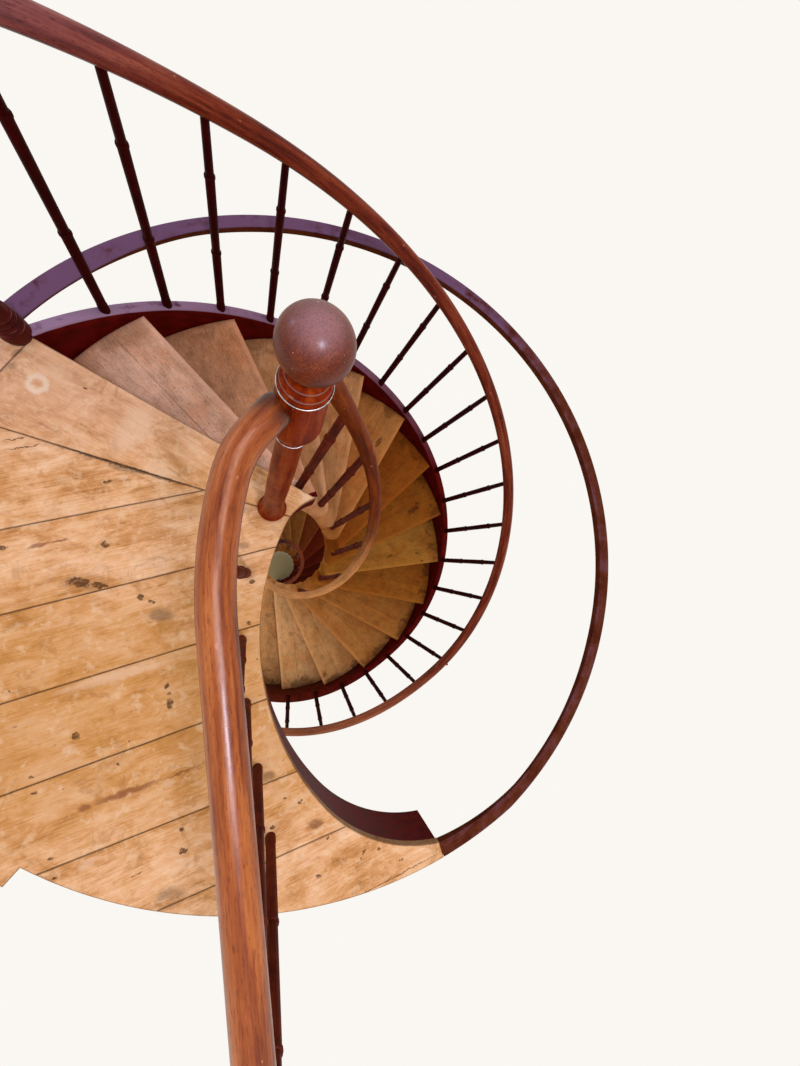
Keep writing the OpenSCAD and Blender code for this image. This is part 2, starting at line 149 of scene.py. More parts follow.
def flare(a):
    """0 on the upper flight, 1 on the lower one, where the string and rail stand further out and higher."""
    return smooth((FLARE_START - a) / 55)


def outer_rail_middle(a):
    rise = OUTER_RAIL_RISE * smooth((a - RAIL_RISE_START) / (LANDING_ANGLE - RAIL_RISE_START))
    return pitch_height(a) + OUTER_RAIL_HEIGHT + FLARE_LIFT * flare(a) + rise


def swing(offset, radius):
    """The angle between a line that misses the axis by an offset and the place where it meets a radius."""
    return math.degrees(math.asin(offset / radius))


def angle_about(centre, point):
    """The angle from 0 to 360 at which a point lies about a centre."""
    return math.degrees(math.atan2(point[1] - centre[1], point[0] - centre[0])) % 360


def raised(points, height):
    """Level points with their heights added."""
    return np.concatenate([points, np.broadcast_to(height, points.shape[:-1])[..., None]], -1)


def distances(line):
    """How far along a line each of its points lies."""
    return np.concatenate([[0], np.cumsum(np.linalg.norm(np.diff(line, axis=0), axis=1))])


def grid_quads(rows, columns):
    """The quads between neighbours of a grid whose last column closes onto its first."""
    r, c = np.meshgrid(np.arange(rows - 1), np.arange(columns), indexing="ij")
    low = r * columns
    high = low + columns
    d = (c + 1) % columns
    return np.stack([low + c, low + d, high + d, high + c], -1).reshape(-1, 4)


def part(points, grain, wear=0.0, flat_ends=False):
    """One closed solid from a grid of points (rows along it, columns round it).

    The first and last rows are closed by a fan to their middle, or by one flat face each.
    grain holds, for each point, metres along, across and through the wood; wear is 0 to 1.
    Faces are turned to point outwards by the sign of the enclosed volume."""
    rows, columns, _ = points.shape
    flat = points.reshape(-1, 3)
    fibre = np.broadcast_to(grain, points.shape).reshape(-1, 3)
    rub = np.broadcast_to(wear, points.shape[:2]).reshape(-1)
    quads = grid_quads(rows, columns)
    n = len(flat)
    middles = points[[0, -1]].mean(1)
    c = np.arange(columns)
    d = (c + 1) % columns
    last_row = n - columns
    first = np.stack([np.full(columns, n), d, c], -1)
    last = np.stack([np.full(columns, n + 1), last_row + c, last_row + d], -1)
    corners = np.concatenate([quads[:, [0, 1, 2]], quads[:, [0, 2, 3]], first, last])
    a, b, c2 = (np.concatenate([flat, middles]) - flat.mean(0))[corners.T]
    if flat_ends:
        ends = [c[::-1].tolist(), (last_row + c).tolist()]
    else:
        fibre = np.concatenate([fibre, fibre.reshape(points.shape)[[0, -1]].mean(1)])
        rub = np.concatenate([rub, [rub[:columns].mean(), rub[-columns:].mean()]])
        flat = np.concatenate([flat, middles])
        ends = np.concatenate([first, last]).tolist()
    faces = quads.tolist() + ends
    if np.einsum("ij,ij->", a, np.cross(b, c2)) < 0:
        faces = [face[::-1] for face in faces]
    return flat, faces, fibre, rub


def piece(name, parts, material, stands_for=()):
    """Makes one object of several parts and puts it on the frame.

    Its point attributes are grain (metres along, across and through the wood) and site (radius from the
    axis, depth below the landing, wear). Points come in about the axis and move to the frame here."""
    starts = np.cumsum([0] + [len(p[0]) for p in parts])
    points = np.concatenate([p[0] for p in parts])
    faces = []
    for p, start in zip(parts, starts):
        faces += [[k + int(start) for k in face] for face in p[1]]
    wear = np.concatenate([p[3] for p in parts])
    site = np.stack([np.hypot(points[:, 0], points[:, 1]), TOP - points[:, 2], wear], -1)
    points = points + np.array([AXIS[0], AXIS[1], 0])
    mesh = bpy.data.meshes.new(name)
    mesh.from_pydata(points.tolist(), [], faces)
    for label, values in (("grain", np.concatenate([p[2] for p in parts])), ("site", site)):
        attribute = mesh.attributes.new(label, "FLOAT_VECTOR", "POINT")
        attribute.data.foreach_set("vector", values.astype(np.float32).ravel())
    mesh.validate()
    mesh.shade_smooth()
    mesh.set_sharp_from_angle(angle=math.radians(CREASE))
    mesh.materials.append(material)
    thing = bpy.data.objects.new(name, mesh)
    bpy.context.scene.collection.objects.link(thing)
    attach(thing, "root")
    if stands_for:
        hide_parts(*stands_for)


def swept_tube(middles, radii, sides, seed=0.0):
    """A round bar along a line of points: each ring lies square to the line, its columns turn round it."""
    along = np.gradient(middles, axis=0)
    along /= np.linalg.norm(along, axis=1, keepdims=True)
    side = np.cross(along, [0, 0, 1.0])
    side /= np.linalg.norm(side, axis=1, keepdims=True)
    up = np.cross(side, along)
    t = np.linspace(0, 2 * np.pi, sides, endpoint=False)
    radii = np.broadcast_to(radii, (len(middles),))[:, None, None]
    ring = side[:, None] * np.cos(t)[None, :, None] + up[:, None] * np.sin(t)[None, :, None]
    length = distances(middles)
    offset = radii * np.stack([0 * t, np.cos(t), np.sin(t)], -1)[None]
    grain = offset + np.stack([length, 0 * length, 0 * length], -1)[:, None] + [seed, seed * GRAIN_SHIFT, 0]
    return part(middles[:, None] + radii * ring, grain)


def turned(profile, sides, low, high=None, seed=0.0, wear=0.0):
    """A lathe-turned piece: the profile's (radius, height) pairs turned about the line from low to high.

    Its first and last pairs are drawn in to the line, which closes the ends. wear is one number a pair."""
    profile = np.asarray(profile, float)
    low = np.asarray(low, float)
    way = np.array([0, 0, 1.0]) if high is None else (np.asarray(high, float) - low)
    way = way / np.linalg.norm(way)
    side = np.cross(way, [0.0, 1.0, 0.0])
    side /= np.linalg.norm(side)
    back = np.cross(way, side)
    t = np.linspace(0, 2 * np.pi, sides, endpoint=False)
    ring = side * np.cos(t)[:, None] + back * np.sin(t)[:, None]
    radius, height = profile[:, :1], profile[:, 1:]
    points = low + height[..., None] * way + radius[..., None] * ring[None]
    along = np.broadcast_to(height, (len(profile), sides))
    grain = np.stack([along, radius * np.cos(t), radius * np.sin(t)], -1)
    return part(points, grain + [seed, seed * GRAIN_SHIFT, 0], np.broadcast_to(wear, len(profile))[:, None])


def fillet(pairs):
    """Rounds a profile's corners twice: each becomes two points, a share of its sides' lengths away."""
    p = np.asarray(pairs, float)
    for share in (0.2, 0.3):
        before = p[1:-1] + share * (p[:-2] - p[1:-1])
        after = p[1:-1] + share * (p[2:] - p[1:-1])
        p = np.concatenate([p[:1], np.stack([before, after], 1).reshape(-1, 2), p[-1:]])
    return p


def colour(text):
    """An sRGB colour written #rrggbb as linear RGBA."""
    c = np.array([int(text[k:k + 2], 16) for k in (1, 3, 5)]) / 255
    return (*np.where(c <= 0.04045, c / 12.92, ((c + 0.055) / 1.055) ** 2.4), 1.0)


# Plain words for nodes: Blender's name, the sockets for values in turn, the output, and fixed settings.
# fade goes from 0 to 1, with an eased middle, as its value goes from the first limit to the second.
NODES = {"mix": ("ShaderNodeMix", (0, 6, 7), 2, {"data_type": "RGBA"}),
         "tint": ("ShaderNodeMix", (0, 6, 7), 2, {"data_type": "RGBA", "blend_type": "MULTIPLY"}),
         "fade": ("ShaderNodeMapRange", (0, 1, 2), 0, {"interpolation_type": "SMOOTHSTEP"}),
         "level": ("ShaderNodeMapRange", (0, 1, 2, 3, 4), 0, {}),
         "noise": ("ShaderNodeTexNoise", ("Vector", "Scale", "Detail", "Roughness", "Distortion"), 0, {}),
         "scaled": ("ShaderNodeMapping", ("Vector", "Scale"), 0, {}),
         "ellipse": ("ShaderNodeMapping", (0, 1, 2, 3), 0, {"vector_type": "TEXTURE"}),
         "ramp": ("ShaderNodeValToRGB", (0,), 0, {}),
         "axis": ("ShaderNodeSeparateXYZ", (0,), 0, {})}
for word, operation in (("plus", "ADD"), ("minus", "SUBTRACT"), ("times", "MULTIPLY"), ("over", "DIVIDE"),
                        ("larger", "MAXIMUM"), ("sine", "SINE"), ("whole", "ROUND"), ("size", "ABSOLUTE")):
    NODES[word] = ("ShaderNodeMath", (0, 1), 0, {"operation": operation})


def adder(tree):
    """Empties a tree and gives the one function that adds a node to it, with its settings and links."""
    tree.nodes.clear()

    def add(kind, *values, out=None, stops=(), inputs=None, **settings):
        """Adds a node and returns an output; a value is a constant, a #rrggbb colour or another's output."""
        name, sockets, first, fixed = NODES.get(kind, (kind, range(len(values)), 0, {}))
        node = tree.nodes.new(name)
        for key, value in {**fixed, **settings}.items():
            setattr(node, key, value)
        for socket, value in [*zip(sockets, values), *(inputs or {}).items()]:
            if isinstance(value, bpy.types.NodeSocket):
                tree.links.new(value, node.inputs[socket])
            else:
                node.inputs[socket].default_value = colour(value) if isinstance(value, str) else value
        for k, (position, value) in enumerate(stops):
            ramp = node.color_ramp.elements
            element = ramp[k] if k < 2 else ramp.new(position)
            element.position = position
            element.color = colour(value)
        return node.outputs[first if out is None else out] if len(node.outputs) else None

    return add


def start_material(name):
    """A new material with its adding function, its grain coordinates and site: radius, depth and wear."""
    material = bpy.data.materials.new(name)
    material.use_nodes = True
    add = adder(material.node_tree)
    grain = add("ShaderNodeAttribute", out="Vector", attribute_name="grain")
    site = add("ShaderNodeAttribute", out="Vector", attribute_name="site")
    return material, add, grain, [add("axis", site, out=k) for k in range(3)]


def finished(material, add, base, roughness, height, depth, **constants):
    """Joins colour, roughness and a bump of a depth in metres to the shader, and sets its constants."""
    bump = add("ShaderNodeBump", inputs={"Height": height, "Distance": depth, "Strength": 1.0})
    inputs = {"Base Color": base, "Roughness": roughness, "Normal": bump}
    inputs.update({socket.replace("_", " "): value for socket, value in constants.items()})
    add("ShaderNodeOutputMaterial", add("ShaderNodeBsdfPrincipled", inputs=inputs))
    return material


def streaks(add, grain, along, across, detail, roughness, distortion=0.0):
    """Noise drawn out along the fibres: its grains are about 1/along metres long and 1/across wide."""
    return add("noise", add("scaled", grain, (along, across, across)), 1.0, detail, roughness, distortion)


def summed(add, *terms):
    """The sum of values, each times its share."""
    total = add("times", *terms[0])
    for term in terms[1:]:
        total = add("plus", total, add("times", *term))
    return total


def painted(add, base, *layers):
    """Lays colours over the base in turn: a layer is its cover from 0 to 1, its strength and its colour."""
    for cover, share, paint in layers:
        base = add("mix", add("times", cover, share), base, paint)
    return base


def loosened(add):
    """Object coordinates, and level distances from the axis, shaken a little to give marks ragged edges."""
    place = add("ShaderNodeTexCoord", out="Object")
    about = add("ShaderNodeVectorMath", place, LANDING, operation="SUBTRACT")
    shake = add("noise", about, 60.0, 4.0, out=1)
    shake = add("ShaderNodeVectorMath", shake, (0.5, 0.5, 0.5), operation="SUBTRACT")
    shake = add("ShaderNodeVectorMath", shake, inputs={"Scale": 0.02}, operation="SCALE")
    about = add("ShaderNodeVectorMath", about, shake, operation="ADD")
    return place, add("ShaderNodeVectorMath", about, (1.0, 1.0, 0.0), operation="MULTIPLY")


def from_middle(add, place, mark):
    """How far out in a mark's ellipse a place lies: 0 in its middle and 1 on its edge."""
    x, y, along, across, turn = mark
    middle = (x / 1000, y / 1000, 0)
    local = add("ellipse", place, middle, (0, 0, math.radians(turn)), (along / 1000, across / 1000, 1))
    return add("ShaderNodeVectorMath", local, out="Value", operation="LENGTH")


def marks(add, place, rows):
    """Covers the marks in a list: 1 in the middle of each ellipse, fading to 0 at its edge."""
    cover = 0.0
    for row in rows:
        cover = add("larger", cover, add("fade", from_middle(add, place, row), 1.15, 0.45))
    return cover


def ragged(add, place, cover, fineness):
    """Marks broken up by fine noise, as dirt and knots are."""
    grit = add("times", add("minus", add("noise", place, fineness, 4.0, 0.7), 0.5), 2.2)
    return add("fade", add("plus", cover, grit), 0.4, 1.1)


# The treads' colour by depth below the landing, in shares of DEEPEST metres: wood colour with painted light
# and shade in it. Dusty and paler at the top, partly painted cool light; painted brighter about 2 to 3 m
# down, where light reaches the lower flight; painted darker red towards the foot of the well, where shade
# falls.
DEEPEST = 5.0
TREAD_TONES_LIGHT_AND_SHADE = [(0.037, "#d2a688"), (0.073, "#bf8862"), (0.11, "#bd8c60"), (0.184, "#ac7038"),
               (0.218, "#8a4b12"), (0.255, "#8e5216"), (0.294, "#a4702c"), (0.331, "#96591a"),
               (0.405, "#b97d3e"), (0.469, "#dca96c"), (0.55, "#d49450"), (0.7, "#8f5c2a"),
               (0.874, "#8a5826"), (0.925, "#6a240c"), (1.0, "#4a1206")]
TREAD_SEED = 0.61  # how far apart two neighbouring treads lie in the grain's coordinates, across it
FRONT_BOARD = 0.138  # width of a tread's front board, behind which the second board starts
GUARD_SEED = 3.1  # where the guard rail's grain starts, along it

# Marks: x and y of the middle about the axis, half length and half width in millimetres, turn in degrees.
# On the treads:
SMEARS = [(809, 351, 70, 26, 35), (691, 29, 30, 14, 20), (903, 54, 22, 14, 0), (943, -5, 22, 12, 0),
          (840, 400, 30, 14, 10), (460, 700, 50, 20, 60)]
TRODDEN = [(660, 110, 170, 70, 12), (130, -620, 100, 200, 10), (-20, -600, 80, 200, 0),
           (360, -420, 140, 60, -45)]
# On the landing's planks:
KNOTS = [(-653, -17, 17, 13, 20), (-716, -134, 42, 22, -10), (-662, -143, 30, 13, -15),
         (-549, -181, 11, 14, 0), (-516, -197, 16, 9, -12), (-915, -32, 18, 12, 0), (-866, -446, 7, 5, 0),
         (-460, -461, 9, 12, 0), (-450, -487, 7, 5, 0), (-447, -519, 12, 22, 0), (-695, -588, 13, 16, 0),
         (-797, -693, 8, 7, 0), (-786, -736, 12, 8, 10), (-581, -681, 7, 6, 0), (-555, -618, 6, 5, 0),
         (-397, -898, 11, 9, 20), (-388, -962, 16, 13, 20), (-736, -923, 10, 7, 15),
         (-746, -979, 13, 7, 10), (-720, -977, 10, 6, 10), (-659, 183, 16, 8, 10), (-484, 194, 7, 5, 0),
         (-739, 479, 9, 5, 0), (-215, -135, 16, 12, 0), (-220, -273, 14, 8, -30), (-191, -393, 6, 6, 0),
         (-88, -853, 9, 7, 0), (-37, -873, 12, 9, 0), (57, -1003, 9, 6, 40), (-124, -939, 12, 8, 0),
         (184, -1069, 14, 7, 60), (174, -1090, 10, 6, 40), (238, -1072, 7, 11, 0), (29, -1120, 13, 9, 0),
         (319, -1121, 11, 5, 20), (-512, -1007, 18, 4, 18)]
SCARS = [(-548, -766, 100, 11, 14), (-400, -729, 62, 4, 14), (-826, -22, 36, 8, 22), (-775, -7, 30, 4, 12),
         (17, -953, 32, 19, 5), (-661, -795, 20, 13, 20)]
# Stains; those round the ball newel's foot and the guard balusters' feet are painted contact shade.
STAINS_AND_FOOT_SHADE = [(-728, 262, 36, 10, -15.5), (-617, 229, 55, 13, -15.5), (-700, -137, 70, 30, 0),
          (-419, -1091, 50, 36, 0), (-247, -10, 26, 18, 0), (-920, 570, 22, 16, 30),
          (-937, 526, 22, 14, 30), (-490, -240, 45, 30, 0), (-145, -777, 30, 20, 0), (-157, 120, 62, 60, 0),
          (-235, -100, 32, 30, 0), (-210, -775, 30, 30, 0), (-170, -980, 35, 30, 0), (-260, 120, 50, 30, 0)]
RUBBED = [(-709, -627, 21, 18, 0), (-439, -759, 20, 15, 0), (-641, -953, 30, 12, 30),
          (-600, 360, 120, 50, 60), (-600, -420, 160, 20, 15)]
RING = (-866, 481, 34, 36, 0)
FINE_JOINTS = [(-911, 298.5, 36, 2.2, 15.6), (-884, 276, 62, 2.2, 16.2), (300, -1172, 200, 1.8, 16)]
WEDGE_JOINT = (-620, 238, 240, 6, -15.5)


def worn_pine(name, lift=1.0):
    """Old pine worn by feet: soft figure, fibres, pin marks, darker towards the outer string and further
    down, pale rubbed nosing, and painted light and shade by depth.
    """
    material, add, grain, (radius, depth, wear) = start_material(name)
    fine = streaks(add, grain, 1 / 0.05, 1 / 0.0025, 3.0, 0.6)
    broad = streaks(add, grain, 6.0, 20.0, 4.0, 0.6)
    tone = summed(add, (fine, 0.42), (broad, 0.23), (add("noise", grain, 17.0, 7.0, 0.7, 0.4), 0.35))
    # Colour by depth: wood tone with painted light and painted shade, darker deep in the well.
    stain = add("ramp", add("over", depth, DEEPEST), stops=TREAD_TONES_LIGHT_AND_SHADE)
    base = add("tint", 1.0, stain, add("level", tone, 0.36, 0.64, 0.62 * lift, 1.42 * lift))
    ruddy = add("fade", add("noise", grain, 5.0, 6.0, 0.7), 0.45, 0.62)
    base = painted(add, base, (ruddy, 0.6, add("tint", 1.0, base, (0.9, 0.68, 0.5, 1))))
    place, loose = loosened(add)
    trodden = add("times", marks(add, loose, TRODDEN), add("fade", tone, 0.36, 0.56))
    base = painted(add, base, (trodden, 0.45, add("tint", 1.0, stain, (1.5, 1.55, 1.7, 1))),
                   (ragged(add, place, marks(add, loose, SMEARS), 70.0), 0.7, "#43200a"))
    blotch = add("noise", grain, 8.0, 6.0, 0.7, 0.6)
    # Darker towards the outer string and in patches, more so further down the stair.
    corner = add("plus", add("fade", radius, 0.9, 1.1), add("fade", blotch, 0.38, 0.75))
    dirt = add("larger", add("times", add("fade", blotch, 0.54, 0.7), 0.5), add("fade", corner, 0.75, 1.4))
    base = painted(add, base, (dirt, add("level", depth, 0.2, 1.3, 0.25, 0.7), "#4c230a"))
    step = add("whole", add("over", depth, RISE))
    seed = add("times", add("minus", float(RISERS), step), TREAD_SEED)
    across = add("minus", add("axis", grain, out=1), seed)
    joint = add("fade", add("size", add("minus", across, FRONT_BOARD)), 0.0032, 0.001)
    end = add("plus", add("fade", radius, 0.32, 0.262), add("times", add("minus", blotch, 0.5), 2.0))
    speck = add("fade", streaks(add, grain, 110.0, 190.0, 3.0, 0.6), 0.6, 0.68)
    scratch = add("fade", streaks(add, grain, 26.0, 110.0, 2.0, 0.5, 1.4), 0.67, 0.73)
    base = painted(add, base, (joint, add("level", blotch, 0.35, 0.6, 0.55, 0.1), "#3c1c0a"),
                   (add("fade", end, 0.3, 0.9), add("level", depth, 2.2, 3.2, 0.4, 0.1),
                    add("tint", 1.0, stain, (1.35, 1.25, 1.0, 1))), (speck, 0.55, "#3a1a08"),
                   (scratch, 0.3, add("tint", 1.0, stain, (1.5, 1.5, 1.6, 1))),
                   (wear, 0.5, add("tint", 1.0, stain, (1.5, 1.5, 1.7, 1))))
    rough = add("plus", 0.5, add("times", tone, 0.25))
    height = add("minus", add("plus", fine, broad), scratch)
    return finished(material, add, base, rough, height, 0.0005, Specular_IOR_Level=0.04)


def scrubbed_plank(name):
    """Bare pine boards, scrubbed and walked on: honey wood under cloudy tan and orange patches, with knots,
    scars, grease stains, rubbed places, one pale ring and grime in the joints; a pinker tone on the boards
    north of the axis is painted cool light, and darker patches round the newel and baluster feet are painted
    contact shade."""
    material, add, grain, (radius, depth, wear) = start_material(name)
    place, loose = loosened(add)
    fine = streaks(add, grain, 1 / 0.12, 1 / 0.004, 3.0, 0.6)
    bands = add("sine", add("times", streaks(add, grain, 0.9, 1 / 0.096, 2.0, 0.5), 26.0))
    broad = streaks(add, grain, 3.2, 11.0, 6.0, 0.68, 0.6)
    cloud = streaks(add, grain, 9.0, 16.0, 7.0, 0.72, 0.5)
    tone = summed(add, (fine, 0.22), (broad, 0.3), (cloud, 0.48), (bands, 0.015))
    stops = [(0.39, "#ac743e"), (0.46, "#d59b60"), (0.52, "#e8b37e"), (0.61, "#f5cb9e")]
    amber = streaks(add, grain, 8.0, 13.0, 6.0, 0.7, 1.0)
    north = add("axis", loose, out=1)
    amber_rows = add("times", add("fade", north, -0.05, -0.35), add("fade", north, -1.0, -0.7))
    flake = add("fade", add("noise", place, 26.0, 4.0, 0.65), 0.54, 0.66)
    patch = add("fade", add("noise", loose, 9.0, 6.0, 0.75, 0.8), 0.54, 0.66)
    speck = add("fade", streaks(add, grain, 60.0, 110.0, 3.0, 0.6, 0.5), 0.68, 0.74)
    out_in_ring = from_middle(add, loose, RING)
    ring = add("times", add("fade", out_in_ring, 0.25, 0.6), add("fade", out_in_ring, 1.1, 0.75))
    # Grease stains, and painted contact shade round the newel and baluster feet.
    greasy_and_foot_shade = add("times", marks(add, loose, STAINS_AND_FOOT_SHADE), add("fade", cloud, 0.36, 0.56))
    # The pinker layer on the boards north of the axis is painted cool light.
    base = painted(add, add("ramp", tone, stops=stops), (add("fade", amber, 0.53, 0.64), 0.5, "#c5864a"),
                   (add("fade", amber, 0.45, 0.36), 0.45, "#e8c19c"),
                   (add("fade", north, 0.15, 0.5), 0.4, "#d8ad94"), (amber_rows, 0.45, "#c68a3a"),
                   (flake, 0.4, "#f0cda0"), (patch, 0.45, "#a9713a"),
                   (speck, 0.5, "#8a5428"), (marks(add, loose, RUBBED), 0.35, "#edcdab"),
                   (ring, 0.75, "#ecd3b4"), (greasy_and_foot_shade, 0.62, "#77583a"),
                   (marks(add, loose, SCARS), 0.7, "#834a2b"),
                   (ragged(add, place, marks(add, loose, KNOTS), 90.0), 0.85, "#4a2a12"),
                   (marks(add, loose, FINE_JOINTS), 0.8, "#3a2312"),
                   (marks(add, loose, [WEDGE_JOINT]), 0.7, "#33231a"),
                   (wear, 0.95, "#1f1006"))
    rough = add("plus", 0.5, add("times", tone, 0.25))
    return finished(material, add, base, rough, add("plus", fine, broad), 0.0005, Specular_IOR_Level=0.08)


def dark_stain(name, deep, worn, rubbed, dusty=0.0, brown=None, specular=0.04):
    """Oxblood stain on softwood, dull satin: darker in the grain, and where wear is high a pale rubbed
    colour, which is partly real rubbing and dust and partly painted sheen of cool light from above.

    dusty is how much the rubbed colour and its painted sheen show below the landing; at the landing they
    show in full. brown is a colour that the stain turns to on the lower flight."""
    material, add, grain, (radius, depth, wear) = start_material(name)
    cloud = add("noise", grain, 14.0, 6.0, 0.66)
    tone = summed(add, (streaks(add, grain, 1 / 0.07, 1 / 0.003, 3.0, 0.6), 0.45), (cloud, 0.55))
    base = add("ramp", tone, stops=[(0.4, deep), (0.62, worn)])
    if brown:
        faded = add("tint", 1.0, brown, add("level", tone, 0.4, 0.62, 0.5, 1.3))
        base = painted(add, base, (add("fade", depth, 1.9, 2.7), 0.6, faded))
    patchy = add("plus", 1.0, add("times", add("minus", cloud, 0.5), 2.2))
    chip = add("fade", add("times", wear, patchy), 0.3, 0.75)
    # The rubbed colour, partly painted sheen, strongest at the landing.
    base = painted(add, base, (chip, add("level", depth, 0.1, 1.1, 0.9, dusty), rubbed))
    rough = add("plus", 0.34, add("times", tone, 0.3))
    return finished(material, add, base, rough, tone, 0.0004, Specular_IOR_Level=specular)


def end_shade_and_streak(add, base, grain, figure, start):
    """A rail's end made dark, partly by grime and partly by painted contact shade where it meets the newel,
    with a pale streak beyond it along the crown that is a painted highlight on worn varnish.
    """
    along = add("axis", grain)
    figured = add("times", add("minus", figure, 0.5), 2.0)
    # Dark end: partly grime, partly painted contact shade.
    grime = add("plus", add("fade", along, start + 0.075, start + 0.01), figured)
    # A pale streak along the crown: painted highlight.
    crown = add("size", add("minus", add("axis", grain, out=1), GRAIN_SHIFT * start - 0.003))
    rubbed = add("times", add("fade", crown, 0.006, 0.001), add("fade", figure, 0.3, 0.6))
    for near, far in ((0.02, 0.07), (0.65, 0.4)):
        rubbed = add("times", rubbed, add("fade", along, start + near, start + far))
    return painted(add, base, (add("fade", grime, 0.2, 1.0), 0.85, "#2a0e07"), (rubbed, 0.45, "#dcae90"))


def polished_mahogany(name, dark, middle, light, roughness, specular, light_and_shade_fades=(), shaded_end_from=None):
    """Varnished mahogany: long dark streaks and pores in red-brown wood, pale flecks where it is chipped.

    Each fade is a colour, the depths below the landing between which it comes in, and how far; the callers
    use them to paint light and shade. Where wear is set, on crests, it paints a dull mauve grey glint. The
    last argument is where along the grain the end with painted shade and a painted highlight lies."""
    material, add, grain, (radius, depth, wear) = start_material(name)
    figure = streaks(add, grain, 6.0, 40.0, 5.0, 0.65, 0.3)
    tone = summed(add, (streaks(add, grain, 2.5, 95.0, 4.0, 0.6), 0.45), (figure, 0.55))
    base = add("ramp", tone, stops=[(0.38, dark), (0.5, middle), (0.64, light)])
    level = add("level", tone, 0.36, 0.64, 0.65, 1.3)
    for paint, start, end, share in light_and_shade_fades:
        base = painted(add, base, (add("fade", depth, start, end), share, add("tint", 1.0, paint, level)))
    pores = add("fade", streaks(add, grain, 60.0, 600.0, 2.0, 0.6), 0.55, 0.66)
    fleck = add("fade", streaks(add, grain, 45.0, 90.0, 2.0, 0.5), 0.72, 0.76)
    base = painted(add, base, (pores, 0.6, dark), (fleck, 0.5, "#c98a63"))
    # Painted contact shade and a painted highlight streak at a rail's end.
    if shaded_end_from is not None:
        base = end_shade_and_streak(add, base, grain, figure, shaded_end_from)
    # Pale wear colour; on the ball newel's crests it is a painted glint.
    base = add("mix", wear, base, "#b5a09c")
    smear = add("noise", grain, 25.0, 4.0, 0.6)
    rough = add("plus", roughness, add("times", add("fade", smear, 0.4, 0.75), 0.14))
    height = add("plus", tone, smear)
    return finished(material, add, base, rough, height, 0.0002, Specular_IOR_Level=specular)


def mottled_ball(name):
    """Old varnish, finely crazed: umber specks over red-brown, a painted highlight on top, painted shade on
    the lower half, a few pale chips.
    """
    material, add, grain, (radius, depth, wear) = start_material(name)
    spots = add("noise", grain, 520.0, 3.0, 0.7)
    tone = summed(add, (add("noise", grain, 30.0, 5.0, 0.65, 0.5), 0.5), (spots, 0.5))
    base = add("ramp", tone, stops=[(0.38, "#4a1402"), (0.5, "#642206"), (0.62, "#803c18")])
    crown = add("fade", depth, -1.13, -1.162)
    chip = add("fade", add("noise", grain, 230.0, 2.0, 0.5), 0.74, 0.77)
    # Painted highlight on the crown, and painted shade low on the ball.
    base = painted(add, base, (add("times", crown, crown), 0.7, "#a07c80"),
                   (add("fade", spots, 0.5, 0.3), 0.4, "#35120a"),
                   (add("fade", depth, -1.115, -1.055), 0.4, "#481404"), (chip, 0.9, "#e3c8b6"))
    rough = add("plus", 0.44, add("times", spots, 0.1))
    return finished(material, add, base, rough, tone, 0.00012, Specular_IOR_Level=0.08, Coat_Weight=0.4,
                    Coat_Roughness=0.28)


def galvanised_wire(name):
    """Thin zinc-coated wire, dulled in patches: a metal, so its colour is the reflection's."""
    material, add, grain, site = start_material(name)
    dull = add("noise", grain, 160.0, 3.0, 0.6)
    base = add("ramp", dull, stops=[(0.35, "#8f8a86"), (0.65, "#d8d4d0")])
    rough = add("plus", 0.3, add("times", dull, 0.3))
    return finished(material, add, base, rough, dull, 0.0001, Metallic=1.0)


def sawn_pine(name):
    """Rough sawn pine for the hidden joists, in object coordinates, since these are the CAD's own solids."""
    material, add, grain, site = start_material(name)
    place = add("ShaderNodeTexCoord", out="Object")
    fine = add("noise", add("scaled", place, (60.0, 60.0, 300.0)), 1.0, 3.0, 0.6)
    base = add("ramp", fine, stops=[(0.35, "#a98357"), (0.65, "#cfae80")])
    return finished(material, add, base, 0.7, fine, 0.0008)


def riser_stain(name):
    """Dark stained riser boards, in object coordinates, since these are the CAD's own solids."""
    material, add, grain, site = start_material(name)
    place = add("ShaderNodeTexCoord", out="Object")
    fine = add("noise", add("scaled", place, (40.0, 40.0, 260.0)), 1.0, 3.0, 0.6)
    tone = summed(add, (fine, 0.4), (add("noise", place, 16.0, 6.0, 0.65), 0.6))
    base = add("ramp", tone, stops=[(0.38, "#3d130c"), (0.64, "#6b2c19")])
    return finished(material, add, base, 0.45, tone, 0.0005)


tread_wood = worn_pine("worn_pine_tread")
plank_wood = scrubbed_plank("scrubbed_pine_plank")
# The rubbed colours of the string, ledge and top newel are partly painted cool sheen on worn tops and
# crests.
string_wood = dark_stain("oxblood_stained_string", "#430302", "#6a0d07", "#a284a0", 0.0, "#6b3a16")
ledge_wood = dark_stain("oxblood_stained_ledge", "#4a1a0c", "#6a3418", "#6e4f6c", 0.5)
inner_string_wood = worn_pine("rubbed_pine_inner_string", 1.2)
baluster_wood = dark_stain("oxblood_turned_baluster", "#240201", "#3c0504", "#6a3a34")
inner_baluster_wood = dark_stain("worn_oxblood_inner_baluster", "#451006", "#6e2510", "#8a5546")
top_newel_wood = dark_stain("oxblood_turned_newel", "#360604", "#5c120c", "#a07880", 0.5, None, 0.1)
guard_baluster_wood = dark_stain("oxblood_guard_baluster", "#45140a", "#6c2a16", "#8a5546")
# The guard rail's end gets painted contact shade and a painted highlight streak.
rail_wood = polished_mahogany("varnished_mahogany_handrail", "#66250a", "#9a4e1e", "#ba6e34", 0.26, 0.26,
                              shaded_end_from=GUARD_SEED)
# Fades by depth: painted light on the rail's lower front, painted shade deeper in the well, then a lighter
# red on the deepest turn.
inner_rail_wood = polished_mahogany(
    "worn_mahogany_inner_rail", "#4a1a03", "#702c06", "#8a420e", 0.4, 0.015,
    [("#f2ac68", -0.1, 0.75, 0.95), ("#3a0f04", 1.6, 1.95, 1.0), ("#8a3a16", 2.8, 3.3, 0.9)])
